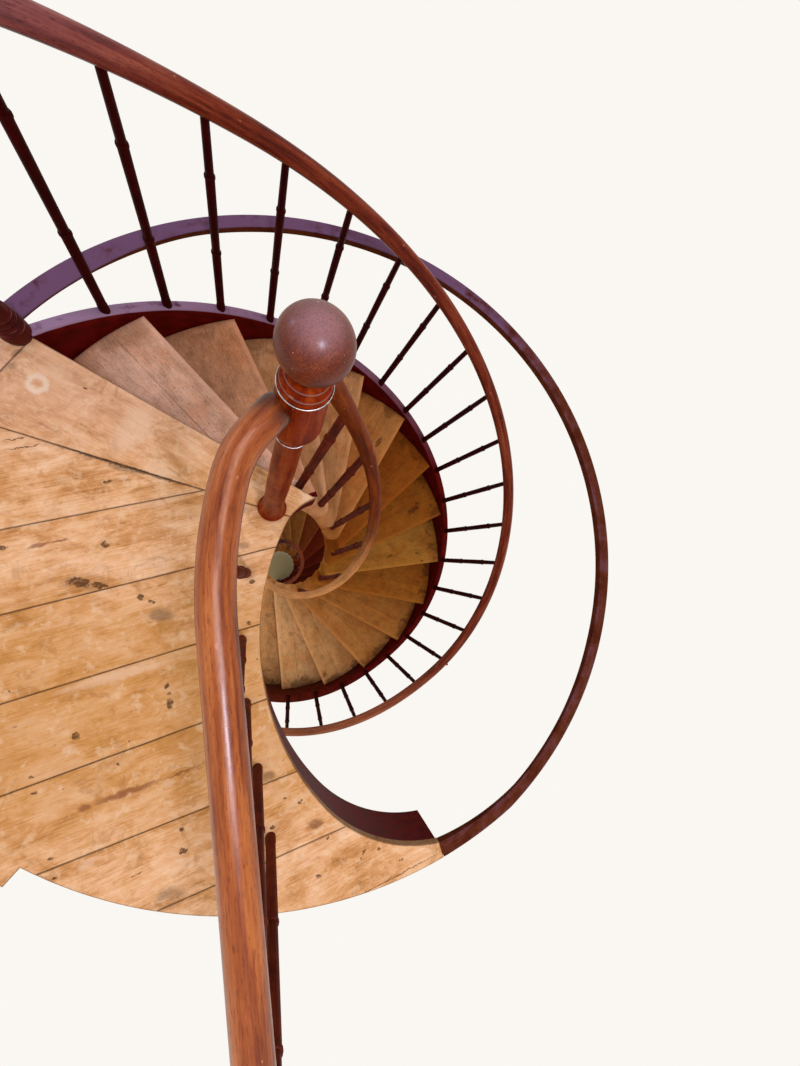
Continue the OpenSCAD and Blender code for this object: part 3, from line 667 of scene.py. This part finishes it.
# Fades by depth: a painted highlight on the lower flight and a painted cool sheen near the landing.
dark_rail_wood = polished_mahogany("dark_varnished_handrail", "#431006", "#732812", "#94482a", 0.26, 0.1,
                                   [("#c07850", 0.8, 1.6, 0.85), ("#a07078", -0.5, -0.95, 0.75)])
newel_wood = polished_mahogany("polished_mahogany_newel", "#561303", "#842a06", "#9a4614", 0.3, 0.03)
ball_wood = mottled_ball("mottled_varnished_ball")
wire_metal = galvanised_wire("galvanised_steel_wire")
joist_wood = sawn_pine("sawn_pine_joist")
riser_wood = riser_stain("dark_stained_riser")


def tread_outline(i):
    """Points round one tread, about the axis: along the nosing, round its inner end, back under the next
    riser, and along the inside of the outer string. Its corner over the well is rounded."""
    turn = nosing_angle(i) + NOSING_TURN
    u, v = direction(turn), direction(turn + 90)
    corner = NOSING_OFFSET - TREAD_CORNER
    middle = math.sqrt((WELL_RADIUS + TREAD_CORNER) ** 2 - corner ** 2) * u - corner * v
    sweep = (angle_about(middle, (0, 0)) - (turn - 90)) % 360 - 360
    end_arc = middle + TREAD_CORNER * direction(turn - 90 + sweep * np.linspace(0, 1, 16))
    back = NOSING_OFFSET - TREAD_BACK
    well_from = angle_about((0, 0), middle)
    well_sweep = (turn + STEP - swing(back, WELL_RADIUS) - well_from) % 360
    well_arc = WELL_RADIUS * direction(np.linspace(well_from, well_from + well_sweep, 12)[1:])
    angles = np.linspace(turn + STEP - swing(back, INNER_FACE), turn - NOSING_TURN, 14)
    outer_arc = (INNER_FACE + FLARE_REACH * flare(angles) - GAP)[:, None] * direction(angles)
    corners = np.concatenate([outer_arc[-1:], end_arc, well_arc, outer_arc])
    length = distances(corners)
    s = np.linspace(0, length[-1], 161)[:-1]
    return np.stack([np.interp(s, length, corners[:, 0]), np.interp(s, length, corners[:, 1])], -1), u, v


def inset(outline, distance):
    """The outline moved inwards by a distance, with its corners mitred."""
    after = np.roll(outline, -1, 0)
    edge = after - outline
    edge /= np.linalg.norm(edge, axis=1, keepdims=True)
    area = np.sum(outline[:, 0] * after[:, 1] - outline[:, 1] * after[:, 0])
    normal = np.stack([-edge[:, 1], edge[:, 0]], -1) * np.sign(area)
    before = np.roll(normal, 1, 0)
    spread = np.maximum(1 + (normal * before).sum(1), 0.12)
    return outline + distance * (normal + before) / spread[:, None]


def plank_rings(outline, top, thickness):
    """A plank's rings, from its underside's edge round its eased arris to its top's edge, with wear."""
    rings = [raised(inset(outline, EASED), top - thickness), raised(outline, top - thickness + EASED)]
    for turn in np.radians(np.linspace(0, 90, 4)):
        height = top - EASED * (1 - math.sin(turn))
        rings.append(raised(inset(outline, EASED * (1 - math.cos(turn))), height))
    rings.append(raised(inset(outline, 2.6 * EASED), top))
    return np.stack(rings), np.array([0, 1, 1, 1, 1, 0.9, 0])[:, None]


def board_rings(outline, top, thickness, edge):
    """Rings from the middle of a board's underside, round its edge, to the middle of its top, with wear."""
    middle = outline.mean(0)
    flat = inset(outline, edge) - middle
    rings = [raised(middle + share * flat, top - thickness) for share in (0.02, 0.5, 0.96)]
    for turn in np.radians(np.linspace(-90, 90, 9)):
        low = thickness - 2 * edge if turn < 0 else 0.0
        height = top - (1 - math.sin(turn)) * edge - low
        rings.append(raised(inset(outline, edge * (1 - math.cos(turn))), height))
    shares = (0.96, 0.9, 0.8, 0.65, 0.5, 0.35, 0.2, 0.08, 0.02)
    rings += [raised(middle + share * flat, top) for share in shares]
    return np.stack(rings), np.repeat([0.0, 1.0, 0.0], [8, 5, 8])[:, None]


def tread(i):
    """One winder board with a rounded nosing, hollowed a little by feet half way along it."""
    outline, u, v = tread_outline(i)
    points, wear = board_rings(outline, i * RISE, BOARD, TREAD_EDGE)
    along = points[..., :2] @ u
    across = points[..., :2] @ v + NOSING_OFFSET
    shape = ((along - HOLLOW_PLACE) / HOLLOW_LENGTH) ** 2 + (across / HOLLOW_WIDTH) ** 2
    hollow = HOLLOW_DEPTH * np.exp(-shape)
    points[..., 2] -= hollow * (points[..., 2] > i * RISE - 0.01)
    grain = np.stack([along, across, points[..., 2]], -1) + [i * 1.37, i * TREAD_SEED, 0]
    return part(points, grain, wear * np.exp(-((across / 0.02) ** 2)))


def build_treads():
    for i in range(1, RISERS):
        name = "tread_%02d" % i
        piece("worn_" + name, [tread(i)], tread_wood, [name])


def band_section(inside, outside, bottom, top, edge=0.006):
    """The section of an upright board as columns: (radius, height, wear) with its top corners rounded."""
    low = np.maximum(bottom + GAP, top - 1.6 * edge)
    turns = np.radians([0, 30, 60, 90])
    outer = [(outside - edge + edge * np.cos(t), top - edge + edge * np.sin(t), 0.8) for t in turns]
    inner = [(inside + edge - edge * np.cos(t), top - edge + edge * np.sin(t), 0.9) for t in turns[::-1]]
    foot = [(inside, bottom, 0.0), (outside, bottom, 0.0), (outside, low, 0.0)]
    return foot + outer + [((inside + outside) / 2, top, 0.7)] + inner + [(inside, low, 0.0)]


def bent(angles, columns, centre=(0.0, 0.0)):
    """The points of a board bent round a centre, then their radii, heights and wear.

    Each row is the board's section at one angle; its columns are (radius, height, wear)."""
    grid = np.array([[np.broadcast_to(value, angles.shape) for value in column] for column in columns])
    radius, height, wear = grid.transpose(1, 2, 0)
    return raised(centre + radius[..., None] * direction(angles)[:, None], height), radius, height, wear


def helical_band(angles, columns):
    """A bent board that climbs with the stair: its grain runs along it, and starts from the pitch line."""
    points, radius, height, wear = bent(angles, columns)
    length = np.broadcast_to(np.radians(angles)[:, None] * radius.mean(), radius.shape)
    return part(points, np.stack([length, height - pitch_height(angles)[:, None], radius], -1), wear)


def build_outer_string():
    angles = np.linspace(BOTTOM_ANGLE - 2.3, LANDING_ANGLE - 0.05, 560)
    level = pitch_height(angles) + STRING_MARGIN
    f = flare(angles)
    inside = INNER_FACE + FLARE_REACH * f + GAP
    outside = OUTER_FACE + (FLARE_REACH + FLARE_THICKNESS) * f
    section = band_section(inside, outside, np.maximum(level - STRING_DEPTH, 0.0), level + FLARE_LIFT * f)
    solids = ["outer_string_lower", "outer_string_upper"]
    piece("bent_outer_string", [helical_band(angles, section)], string_wood, solids)


def inner_step_angle(i):
    """Where a riser meets the outside of the inner string."""
    return nosing_angle(i) + NOSING_TURN - swing(NOSING_OFFSET - 0.028, INNER_STRING[1])


def build_inner_string():
    """The cut string under the ends of the treads: its top steps up at every riser, its foot slopes."""
    t = np.array([0, 0.25, 0.5, 0.75, 0.985])
    i = np.arange(1, RISERS)
    angles = (np.array([inner_step_angle(k) for k in i])[:, None] + t * STEP).ravel()
    top = np.repeat(i * RISE - BOARD - GAP, len(t))
    bottom = np.maximum(top - RISE - INNER_STRING_FOOT + RISE * np.tile(t, len(i)), 0.0)
    inside, outside = INNER_STRING
    section = [(inside, bottom, 0.0), (outside, bottom, 0.0), (outside, top, 0.0), (inside, top, 0.0)]
    solids = ["inner_string_lower", "inner_string_upper"]
    piece("cut_inner_string", [helical_band(angles, section)], inner_string_wood, solids)


def build_outer_rail():
    """The rail over the outer string, with the small nub on its outer side."""
    angles = np.linspace(FOOT_ANGLE, LANDING_ANGLE, 600)
    radius = STRING_RADIUS + FLARE_REACH * flare(angles)
    middles = raised(radius[:, None] * direction(angles), outer_rail_middle(angles))
    rail = swept_tube(middles, (OUTER_RAIL_WIDTH - 0.004 * flare(angles)) / 2 - INSIDE, 28)
    rim = STRING_RADIUS + OUTER_RAIL_WIDTH / 2
    height = outer_rail_middle(np.array(NUB_ANGLE)) + 0.004
    low, high = [raised(r * direction(NUB_ANGLE), height) for r in (rim - 0.004, rim + 0.008)]
    nub = turned([(POINT, 0), (0.0075, 0), (0.0075, 0.007), (0.006, 0.0105), (POINT, 0.012)], 16, low, high)
    solids = ["outer_rail_lower", "outer_rail_upper"]
    piece("outer_handrail", [rail, nub], dark_rail_wood, solids)


def build_inner_rail():
    """A helix round the well that draws in and down to the ball newel over its last turn."""
    angles = np.linspace(inner_step_angle(1) - 12, INNER_RAIL_END, 620)
    pull = smooth((angles - INNER_RAIL_END + DRAW_TURN) / DRAW_TURN)
    height = pitch_height(angles) + INNER_RAIL_HEIGHT - DRAW_DOWN * pull
    middles = raised((INNER_RAIL_RADIUS - DRAW_IN * pull)[:, None] * direction(angles), height)
    rail = swept_tube(middles, INNER_RAIL_WIDTH / 2 - INSIDE, 24)
    piece("inner_handrail", [rail], inner_rail_wood, ["inner_rail_lower", "inner_rail_upper"])


GUARD_START = np.array([-0.1385, 0.128])
GUARD_HEADINGS = (231.87, 258.99, 276.77)
GUARD_BENDS = (0.1517, 0.6175)
GUARD_END = -1.19


def guard_line():
    """The guard rail's middle line: a straight length, two bends and a straight length to the wall."""
    first = 0.01 + 0.0583 * np.linspace(0, 1, 8) ** 2
    rows = [GUARD_START + first[:, None] * direction(GUARD_HEADINGS[0])]
    for k, bend in enumerate(GUARD_BENDS):
        centre = rows[-1][-1] - bend * direction(GUARD_HEADINGS[k] - 90)
        angles = np.linspace(GUARD_HEADINGS[k], GUARD_HEADINGS[k + 1], 16)[1:] - 90
        rows.append(centre + bend * direction(angles))
    start = rows[-1][-1]
    length = (GUARD_END - start[1]) / math.sin(math.radians(GUARD_HEADINGS[2]))
    rows.append(start + np.linspace(0, length, 30)[1:, None] * direction(GUARD_HEADINGS[2]))
    return np.concatenate(rows)


def build_guard_rail():
    line = guard_line()
    length = np.linalg.norm(line - line[0], axis=1)
    radii = (GUARD_WIDTH / 2 - INSIDE) * np.sqrt(1 - np.clip(1 - length / 0.026, 0, 0.98) ** 2)
    rail = swept_tube(raised(line, TOP + GUARD_HEIGHT), radii, 40, GUARD_SEED)
    piece("guard_handrail", [rail], rail_wood, ["guard_rail"])


def bead(level, below, above):
    """A bead on a shaft that is thicker below it than above, with a fine groove under it."""
    ring = below + BEAD
    pairs = [(below, -0.008), (below - 0.0006, -0.0055), (ring - 0.0006, -0.004), (ring, -0.0015),
             (ring, 0.0015), (ring - 0.0006, 0.004), (above - 0.0004, 0.0055), (above, 0.008)]
    return [(radius, level + height) for radius, height in pairs]


def baluster(low, high, lower=0.41, upper=0.78, seed=0.0):
    """A turned baluster with two beads: thickest at its foot, slimmest at the rail."""
    length = float(np.linalg.norm(np.subtract(high, low)))
    r = BALUSTER_WIDTH / 2
    profile = [(POINT, 0), (r + 0.003, 0.0), (r + 0.003, 0.033), (r + 0.0015, 0.04)]
    profile += bead(lower * length, r + 0.0015, r) + bead(upper * length, r, r - 0.0015)
    profile += [(r - 0.003, length - 0.001), (POINT, length)]
    return turned(profile, 20, low, high, seed)


def build_outer_balusters():
    """The balusters on the outer string; the top three stand a little off their even spacing."""
    count = int((FIRST_BALUSTER - BOTTOM_ANGLE) // BALUSTER_ANGLE) + 1
    lean = math.radians(BALUSTER_LEAN)
    parts = []
    for k in range(count):
        a = FIRST_BALUSTER - k * BALUSTER_ANGLE + ((-1.1, -0.9, -0.3)[k] if k < 3 else 0.0)
        f = float(flare(a))
        low = float(pitch_height(a)) + STRING_MARGIN + FLARE_LIFT * f - FOOT_SINK
        length = float(outer_rail_middle(a)) - OUTER_RAIL_WIDTH / 2 - low - RAIL_SEAT
        foot = raised((STRING_RADIUS + FLARE_REACH * f) * direction(a), low)
        way = raised(-math.sin(lean) * direction(a + 90), math.cos(lean))
        parts.append(baluster(foot, foot + length * way, seed=k * 0.9))
    half = count // 2
    piece("upper_outer_balusters", parts[:half], baluster_wood, ["outer_balusters_upper"])
    piece("lower_outer_balusters", parts[half:], baluster_wood, ["outer_balusters_lower"])


def build_inner_balusters():
    """The balusters on every second tread: the top five lean as the rail draws in, the rest are upright."""
    feet = [102.6, 72, 42, 7, -34]
    leans = [9.6, 3.5, 4.5, 0, -6]
    more = int((feet[-1] - BOTTOM_ANGLE) // (2 * STEP))
    feet += [feet[-1] - k * 2 * STEP for k in range(1, more + 1)]
    parts = []
    for k, (a, lean) in enumerate(zip(feet, leans + [0] * more)):
        low = raised(0.25 * direction(a), TOP - (2 * k + 1) * RISE)
        height = float(pitch_height(a - lean)) + INNER_RAIL_HEIGHT - INNER_RAIL_WIDTH / 2
        high = raised(INNER_RAIL_RADIUS * direction(a - lean), height)
        parts.append(baluster(low, high, 0.34, 0.78, k * 1.3))
    piece("turned_inner_balusters", parts, inner_baluster_wood, ["inner_balusters"])


def build_guard_balusters():
    feet = [(-0.235, -0.105), (-0.242, -0.329), (-0.221, -0.536), (-0.178, -0.747), (-0.13, -0.968)]
    end = guard_line()[-1]
    slope = 1 / math.tan(math.radians(GUARD_HEADINGS[2]))
    parts = []
    for k, (x, y) in enumerate(feet):
        top = [end[0] + (y - end[1]) * slope, y, TOP + GUARD_HEIGHT - GUARD_WIDTH / 2 + 0.003]
        parts.append(baluster([x, y, TOP], top, 0.375, 0.685, k * 2.1))
    piece("turned_guard_balusters", parts, guard_baluster_wood, ["guard_balusters"])


def newel_profile(height, width):
    """A newel with rings over its foot and under its head; the rings' radii are shares of half its width."""
    r = width / 2
    low = [(0.8, 0.066), (0.99, 0.076), (0.8, 0.086), (0.95, 0.096), (0.75, 0.106), (0.9, 0.116),
           (0.7, 0.126)]
    high = [(0.62, -0.15), (0.8, -0.14), (0.62, -0.128), (0.62, -0.04), (0.9, -0.026), (0.7, -0.001)]
    pairs = [(POINT, 0), (r - 0.0005, 0), (r - 0.0005, 0.06)] + [(share * r, level) for share, level in low]
    pairs += [(share * r, height + level) for share, level in high] + [(POINT, height)]
    return fillet(pairs)


def build_plain_newels():
    """Both newels at the foot of the stair, and the one at its head, whose ring crests are painted with pale
    highlights.
    """
    foot = raised((STRING_RADIUS + FLARE_REACH) * direction(FOOT_ANGLE), 0.0)
    post = turned(newel_profile(OUTER_RAIL_HEIGHT + FLARE_LIFT + RISE, BOTTOM_NEWEL_WIDTH), 48, foot)
    piece("turned_bottom_newel", [post], baluster_wood, ["bottom_newel"])
    foot = raised((WELL_RADIUS + 0.031) * direction(inner_step_angle(1) - 12), 0.0)
    post = turned(newel_profile(INNER_RAIL_HEIGHT + RISE, INNER_NEWEL_WIDTH), 40, foot)
    piece("turned_inner_bottom_newel", [post], baluster_wood, ["inner_bottom_newel"])
    foot = raised(TOP_NEWEL_RADIUS * direction(LANDING_ANGLE + 1), TOP - TOP_NEWEL_DROP)
    upper = newel_profile(OUTER_RAIL_HEIGHT + 0.07, TOP_NEWEL_WIDTH)
    pairs = np.concatenate([[(POINT, 0), (0.0435, 0)], upper[2:] + [0, TOP_NEWEL_DROP]])
    # Painted highlights: pale wear colour on the top newel's ring crests.
    crests = TOP_NEWEL_DROP + np.array([0.058, 0.076, 0.096, 0.116])
    wear = 0.6 * np.exp(-((pairs[:, 1:] - crests) / 0.002) ** 2).max(1)
    post = turned(pairs, 56, foot, wear=wear)
    piece("turned_top_newel", [post], top_newel_wood, ["top_newel"])


# The ball newel's outline: radius and height in millimetres, from its foot, its ring and its collar.
OVER_FOOT = [(0.2, 0), (48.7, 0), (48.7, 20), (46.5, 23), (44, 23.5), (42.5, 30), (35, 60), (30.5, 265),
             (31, 350), (29.4, 485), (28.3, 585), (26.4, 680), (24.5, 735)]
OVER_RING = [(24, -7), (26.2, -2.8), (26.6, 0), (26.2, 2.8), (24.8, 6.5), (33, 28), (39, 51), (41, 62),
             (39, 95), (36.5, 142)]
OVER_COLLAR = [(33.8, -56), (32, -52.5), (34.3, -50), (34.3, -45.5), (31.2, -41), (32.8, -37.5), (32.8, -32),
               (27.2, -26), (28.4, -22.5), (28.4, -17), (24, -12), (22.8, -4), (24.8, 0), (0.2, 0)]


def build_ball_newel():
    """The landing's newel: foot, long shaft, ring, pear-shaped block for the rails, collar of three rings,
    ball, and two loops of wire of two strands each."""
    collar = BALL_HEIGHT - BALL_WIDTH / 2
    low = np.array([*NEWEL_PLACE, TOP])
    lean = math.radians(NEWEL_LEAN)
    way = np.array([math.sin(lean), 0, math.cos(lean)])
    pairs = [np.array(rows) / 1000 + [0, level]
             for level, rows in ((0.0, OVER_FOOT), (NEWEL_RING, OVER_RING), (collar, OVER_COLLAR))]
    pairs = fillet(np.concatenate(pairs))
    # The wear on two collar crests paints pale glints there.
    crests = np.array([collar - 0.0345, collar - 0.0195])
    wear = 0.5 * np.exp(-((pairs[:, 1:] - crests) / 0.0014) ** 2).max(1) * (pairs[:, 0] > 0.02)
    post = turned(pairs, 72, low, low + way, wear=wear)
    piece("turned_ball_newel", [post], newel_wood, ["ball_newel"])
    pairs = BALL_HEIGHT * np.array([0, 1]) + (BALL_WIDTH / 2 - FLUSH) * direction(np.linspace(-87, 90, 64))
    pairs[-1, 0] = POINT
    piece("turned_ball", [turned(pairs, 96, low, low + way)], ball_wood, ["ball_finial"])
    wires = []
    turn = np.linspace(92, 448, 80)
    for height, radius in ((collar - 0.0475, 0.0352), (NEWEL_RING + 0.0005, 0.0275)):
        for strand in (-STRAND_SPREAD, STRAND_SPREAD):
            rise = height + strand * np.cos(np.radians(turn - 90) / 2)
            loop = low + rise[:, None] * way + raised(radius * direction(turn), 0.0)
            wires.append(swept_tube(loop, WIRE_RADIUS, 8))
    piece("newel_wires", wires, wire_metal)


WELL_ARC_CENTRE = np.array([0.0645, -0.0065])
WELL_ARC_RADIUS = 0.1875
LONG_ARC_RADIUS = 0.92
TIP_ARC_RADIUS = 0.535
LONG_ANGLE = 156.7
TIP_ANGLE = 222
TIP_END_ANGLE = 271.6
LONG_ARC_CENTRE = WELL_ARC_CENTRE + (WELL_ARC_RADIUS - LONG_ARC_RADIUS) * direction(LONG_ANGLE)
TIP_ARC_CENTRE = LONG_ARC_CENTRE + (LONG_ARC_RADIUS - TIP_ARC_RADIUS) * direction(TIP_ANGLE)
LANDING_TIP = TIP_ARC_CENTRE + TIP_ARC_RADIUS * direction(TIP_END_ANGLE)
WALL_CENTRE = np.array([0.044, 0.215])
LEDGE_CENTRE = np.array([0.051, 0.009])


def well_edge(back=0.0):
    """The landing's curved edge along the well: three arcs that run into one another."""
    arcs = [(WELL_ARC_CENTRE, WELL_ARC_RADIUS, np.linspace(108, LONG_ANGLE, 14)),
            (LONG_ARC_CENTRE, LONG_ARC_RADIUS, np.linspace(LONG_ANGLE, TIP_ANGLE, 60)[1:]),
            (TIP_ARC_CENTRE, TIP_ARC_RADIUS, np.linspace(TIP_ANGLE, TIP_END_ANGLE, 34)[1:])]
    return np.concatenate([centre + (radius + back) * direction(angles) for centre, radius, angles in arcs])


def nosing_point(along):
    """A point of the landing's nosing line."""
    turn = LANDING_ANGLE + NOSING_TURN
    return along * direction(turn) - NOSING_OFFSET * direction(turn + 90)


def reach(offset, radius, angles):
    """How far it is, in each direction, from a centre to a circle whose own centre lies at an offset."""
    toward = direction(angles) @ offset
    return toward + np.sqrt(toward ** 2 - offset @ offset + radius ** 2)


def landing_outline():
    """The landing's whole outline: well edge, the wall's curve, its corner, the outer edge, the nosing."""
    corner = nosing_point(math.sqrt(LANDING_RADIUS ** 2 - NOSING_OFFSET ** 2))
    turn = direction(WALL_CORNER) * reach(WALL_CENTRE, WALL_RADIUS, WALL_CORNER)
    angles = np.linspace(angle_about(WALL_CENTRE, LANDING_TIP), angle_about(WALL_CENTRE, turn), 90)
    wall = WALL_CENTRE + (WALL_RADIUS - FLUSH) * direction(angles)
    outer = (LANDING_RADIUS - FLUSH) * direction(np.linspace(WALL_CORNER, angle_about((0, 0), corner), 60))
    return np.concatenate([nosing_point(0.094)[None], well_edge(), wall, outer])


def clip(outline, point, normal):
    """The part of an outline on the side of a line that the normal points to, each crossing a new point."""
    side = (outline - point) @ normal
    side2 = np.roll(side, -1)
    share = np.where(side != side2, side / np.where(side == side2, 1, side - side2), 0)
    cut = outline + share[:, None] * (np.roll(outline, -1, 0) - outline)
    keep = side >= 0
    crossing = keep != (side2 >= 0)
    rows = np.stack([outline, cut], 1).reshape(-1, 2)
    return rows[np.stack([keep, crossing], 1).ravel()]


def distinct(outline):
    """The outline without points that nearly coincide with the next."""
    return outline[np.linalg.norm(np.roll(outline, -1, 0) - outline, axis=1) > 0.0008]


# The joints between planks, each two points about the axis in millimetres, and the boards' headings.
WEDGE = ((-819, 296), (-88, 93))
NEWEL_JOINT = ((-901, 607), (-961, 507))
JOINTS = [((-924, 21), (-375, 174)), ((-905, -228), (-141, -14)), ((-851, -471), (-380, -335)),
          ((-866, -734), (-168, -531)), ((-843, -979), (-63, -776)), ((-107, -1034), (110, -979))]
TOP_HEADING = 152.4
ROW_HEADING = 16.0


def beyond(outline, joint, side):
    """The part of an outline to the left of a joint (side 1) or to its right (side -1), half a gap away."""
    start, end = np.array(joint) / 1000
    way = (end - start) / np.linalg.norm(end - start)
    left = np.array([-way[1], way[0]])
    return clip(outline, start + side * HALF_JOINT * left, side * left)


def build_planks():
    outline = landing_outline()
    top = beyond(outline, WEDGE, 1)
    shapes = [(beyond(top, NEWEL_JOINT, 1), TOP_HEADING), (beyond(top, NEWEL_JOINT, -1), TOP_HEADING)]
    rest = beyond(outline, WEDGE, -1)
    for joint in JOINTS:
        shapes.append((beyond(rest, joint, 1), ROW_HEADING))
        rest = beyond(rest, joint, -1)
    shapes.append((rest, ROW_HEADING))
    parts = []
    for k, (shape, heading) in enumerate(shapes):
        points, wear = plank_rings(distinct(shape), TOP - 0.0003 * (k % 3), BOARD - 0.001)
        flat = points[..., :2]
        grain = np.stack([flat @ direction(heading), flat @ direction(heading + 90), points[..., 2]], -1)
        parts.append(part(points, grain + [k * 1.9, k * 0.7, 0], wear * 0.6, flat_ends=True))
    piece("landing_planks", parts, plank_wood, ["landing_floor"])


def build_fascia():
    """The curved apron under the landing's edge: its section is carried along the well edge."""
    backs = (LIP, LIP + FASCIA_THICKNESS, LIP + FASCIA_THICKNESS, LIP)
    rows = np.stack([well_edge(back) for back in backs], 1)
    points = raised(rows, TOP - np.array([FASCIA_DEPTH, FASCIA_DEPTH, BOARD, BOARD]))
    along = np.broadcast_to(distances(rows[:, 0])[:, None], points.shape[:2])
    grain = np.stack([along, points[..., 2], 0 * along], -1)
    piece("bent_fascia", [part(points, grain)], string_wood, ["landing_fascia"])


def build_ledge():
    """The ledge round the stairwell, from the landing's tip round to the top newel.

    Its inner edge draws in at both ends, and it is deepest on the side away from the landing."""
    tip_radius = float(np.linalg.norm(LANDING_TIP - LEDGE_CENTRE))
    first = angle_about(LEDGE_CENTRE, LANDING_TIP) - 360
    angles = np.linspace(first, 147.2, 520)
    to_tip = (np.clip(-48 - angles, 0, None) / (-48 - first)) ** 2
    inner = LEDGE_RADIUS - (LEDGE_RADIUS - tip_radius) * to_tip - 0.02 * smooth((angles - 112) / 24) + FLUSH
    wall = reach(WALL_CENTRE - LEDGE_CENTRE, WALL_RADIUS, angles)
    outer = np.minimum(LEDGE_RADIUS + LEDGE_WIDTH, wall) - FLUSH
    depth = np.interp(angles, [-70, -52, -35, -20, 5, 60, 105, 122, 134, 144],
                      [0.029, 0.013, 0.018, 0.026, 0.0295, 0.0295, 0.027, 0.02, 0.009, 0.009])
    section = band_section(inner, outer, TOP - depth, TOP, 0.003)
    points, radius, height, wear = bent(angles, section, LEDGE_CENTRE)
    # The rubbed colour on the ledge's top grows towards the top newel: partly wear, partly painted cool
    # sheen.
    wear = wear * (0.45 + 0.55 * smooth((angles - 30) / 50))[:, None]
    length = np.broadcast_to(np.radians(angles)[:, None] * LEDGE_RADIUS, radius.shape)
    grain = np.stack([length, radius, height], -1)
    piece("well_ledge_band", [part(points, grain, wear)], ledge_wood, ["well_ledge"])


FLOOR_SIZE = 60.0
FLOOR_WHITE = 0.88
WHITE = ("#fffdf8", 1.0)
HORIZON_LIGHT = 0.38
ZENITH_LIGHT = 1.0


def seen_or_mirrored(add):
    """1 for rays from the camera, from gloss and through glass, 0 for the rest."""
    seen = 0.0
    for ray in ("Camera", "Glossy", "Transmission"):
        seen = add("larger", seen, add("ShaderNodeLightPath", out="Is %s Ray" % ray))
    return seen


def build_floor():
    """A plain floor that shows nearly white, and takes the stair's shadow in full at the well's foot, where
    a dull olive spot is painted as shade.
    """
    mesh = bpy.data.meshes.new("floor")
    r = FLOOR_SIZE
    mesh.from_pydata([(-r, -r, 0), (r, -r, 0), (r, r, 0), (-r, r, 0)], [], [(0, 1, 2, 3)])
    material = bpy.data.materials.new("pale_floor")
    material.use_nodes = True
    add = adder(material.node_tree)
    place = add("ShaderNodeTexCoord", out="Object")
    away = add("ShaderNodeVectorMath", place, (*LANDING[:2], 0), out="Value", operation="DISTANCE")
    # Painted shade: a dull olive spot round the foot of the well.
    tint = add("mix", add("fade", away, 0.2, 0.5), "#b2a374", "#efe9df")
    share = add("times", add("times", seen_or_mirrored(add), FLOOR_WHITE), add("fade", away, 0.3, 1.5))
    matte = add("ShaderNodeBsdfDiffuse", tint)
    both = add("ShaderNodeMixShader", share, matte, add("ShaderNodeEmission", *WHITE))
    add("ShaderNodeOutputMaterial", both)
    mesh.materials.append(material)
    floor = bpy.data.objects.new("floor", mesh)
    bpy.context.scene.collection.objects.link(floor)


def area_light(name, place, target, size, power, tint):
    """A square lamp at a place about the axis and above the landing, facing a target given likewise."""
    lamp = bpy.data.lights.new(name, "AREA")
    lamp.shape = "RECTANGLE"
    lamp.size = lamp.size_y = size
    lamp.energy = power
    lamp.color = colour(tint)[:3]
    thing = bpy.data.objects.new(name, lamp)
    bpy.context.scene.collection.objects.link(thing)
    thing.visible_camera = False
    turn = (Vector(target) - Vector(place)).to_track_quat("-Z", "Y").to_matrix().to_4x4()
    thing.matrix_world = Matrix.Translation(Vector(LANDING) + Vector(place)) @ turn


def build_light():
    """A soft sky, brightest overhead, cool on the top newel's side and warm opposite, white where it is
    seen, with a small lamp overhead and a weak one beyond the landing for the gloss on rail and ball."""
    world = bpy.data.worlds.new("studio")
    world.use_nodes = True
    bpy.context.scene.world = world
    add = adder(world.node_tree)
    way = add("ShaderNodeTexCoord", out="Generated")
    level = add("level", add("axis", way, out=2), 0.0, 1.0, HORIZON_LIGHT, ZENITH_LIGHT)
    toward = add("ShaderNodeVectorMath", way, (-0.7, 0.7, 0.1), out="Value", operation="DOT_PRODUCT")
    tint = add("mix", add("fade", toward, -0.9, 0.9), "#fff0dc", "#ececff")
    sky = add("ShaderNodeBackground", tint, level)
    both = add("ShaderNodeMixShader", seen_or_mirrored(add), sky, add("ShaderNodeBackground", *WHITE))
    add("ShaderNodeOutputWorld", both)
    area_light("overhead", (0.4, -1.0, 3.4), (-0.1, -0.1, 0.5), 0.36, 52, "#e8e6ff")
    area_light("window", (-2.4, 1.6, 1.9), (-0.4, 0.4, 0.6), 0.5, 7, "#dedcff")


def build_camera():
    """The photo's camera: a wide lens just above the guard rail, looking down into the well.

    Its focal length is 420 of the picture's 1066 pixels of height; its turns are in radians."""
    lens = bpy.data.cameras.new("camera")
    lens.sensor_width = 36
    lens.lens = 420 / 1066 * lens.sensor_width
    lens.clip_start = 0.02
    camera = bpy.data.objects.new("camera", lens)
    bpy.context.scene.collection.objects.link(camera)
    turn = (Matrix.Rotation(-0.1002, 3, "X") @ Matrix.Rotation(0.3017, 3, "Y")).transposed()
    place = Vector(LANDING) + 1.1 * Vector((-0.1465, -0.1022, 1.3919))
    camera.matrix_world = Matrix.Translation(place) @ turn.to_4x4()
    bpy.context.scene.camera = camera


def dress_frame():
    """Gives the CAD solids that stay in view their own wood."""
    woods = {"risers": riser_wood, "landing_joists": joist_wood, "landing_ledger": joist_wood}
    for node, material in woods.items():
        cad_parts[node].material_slots[0].material = material


for build in (build_treads, build_outer_string, build_inner_string, build_outer_rail, build_inner_rail,
              build_guard_rail, build_outer_balusters, build_inner_balusters, build_guard_balusters,
              build_plain_newels, build_ball_newel, build_planks, build_fascia, build_ledge, dress_frame,
              build_floor, build_light, build_camera):
    build()
bpy.context.scene.view_settings.view_transform = "Standard"
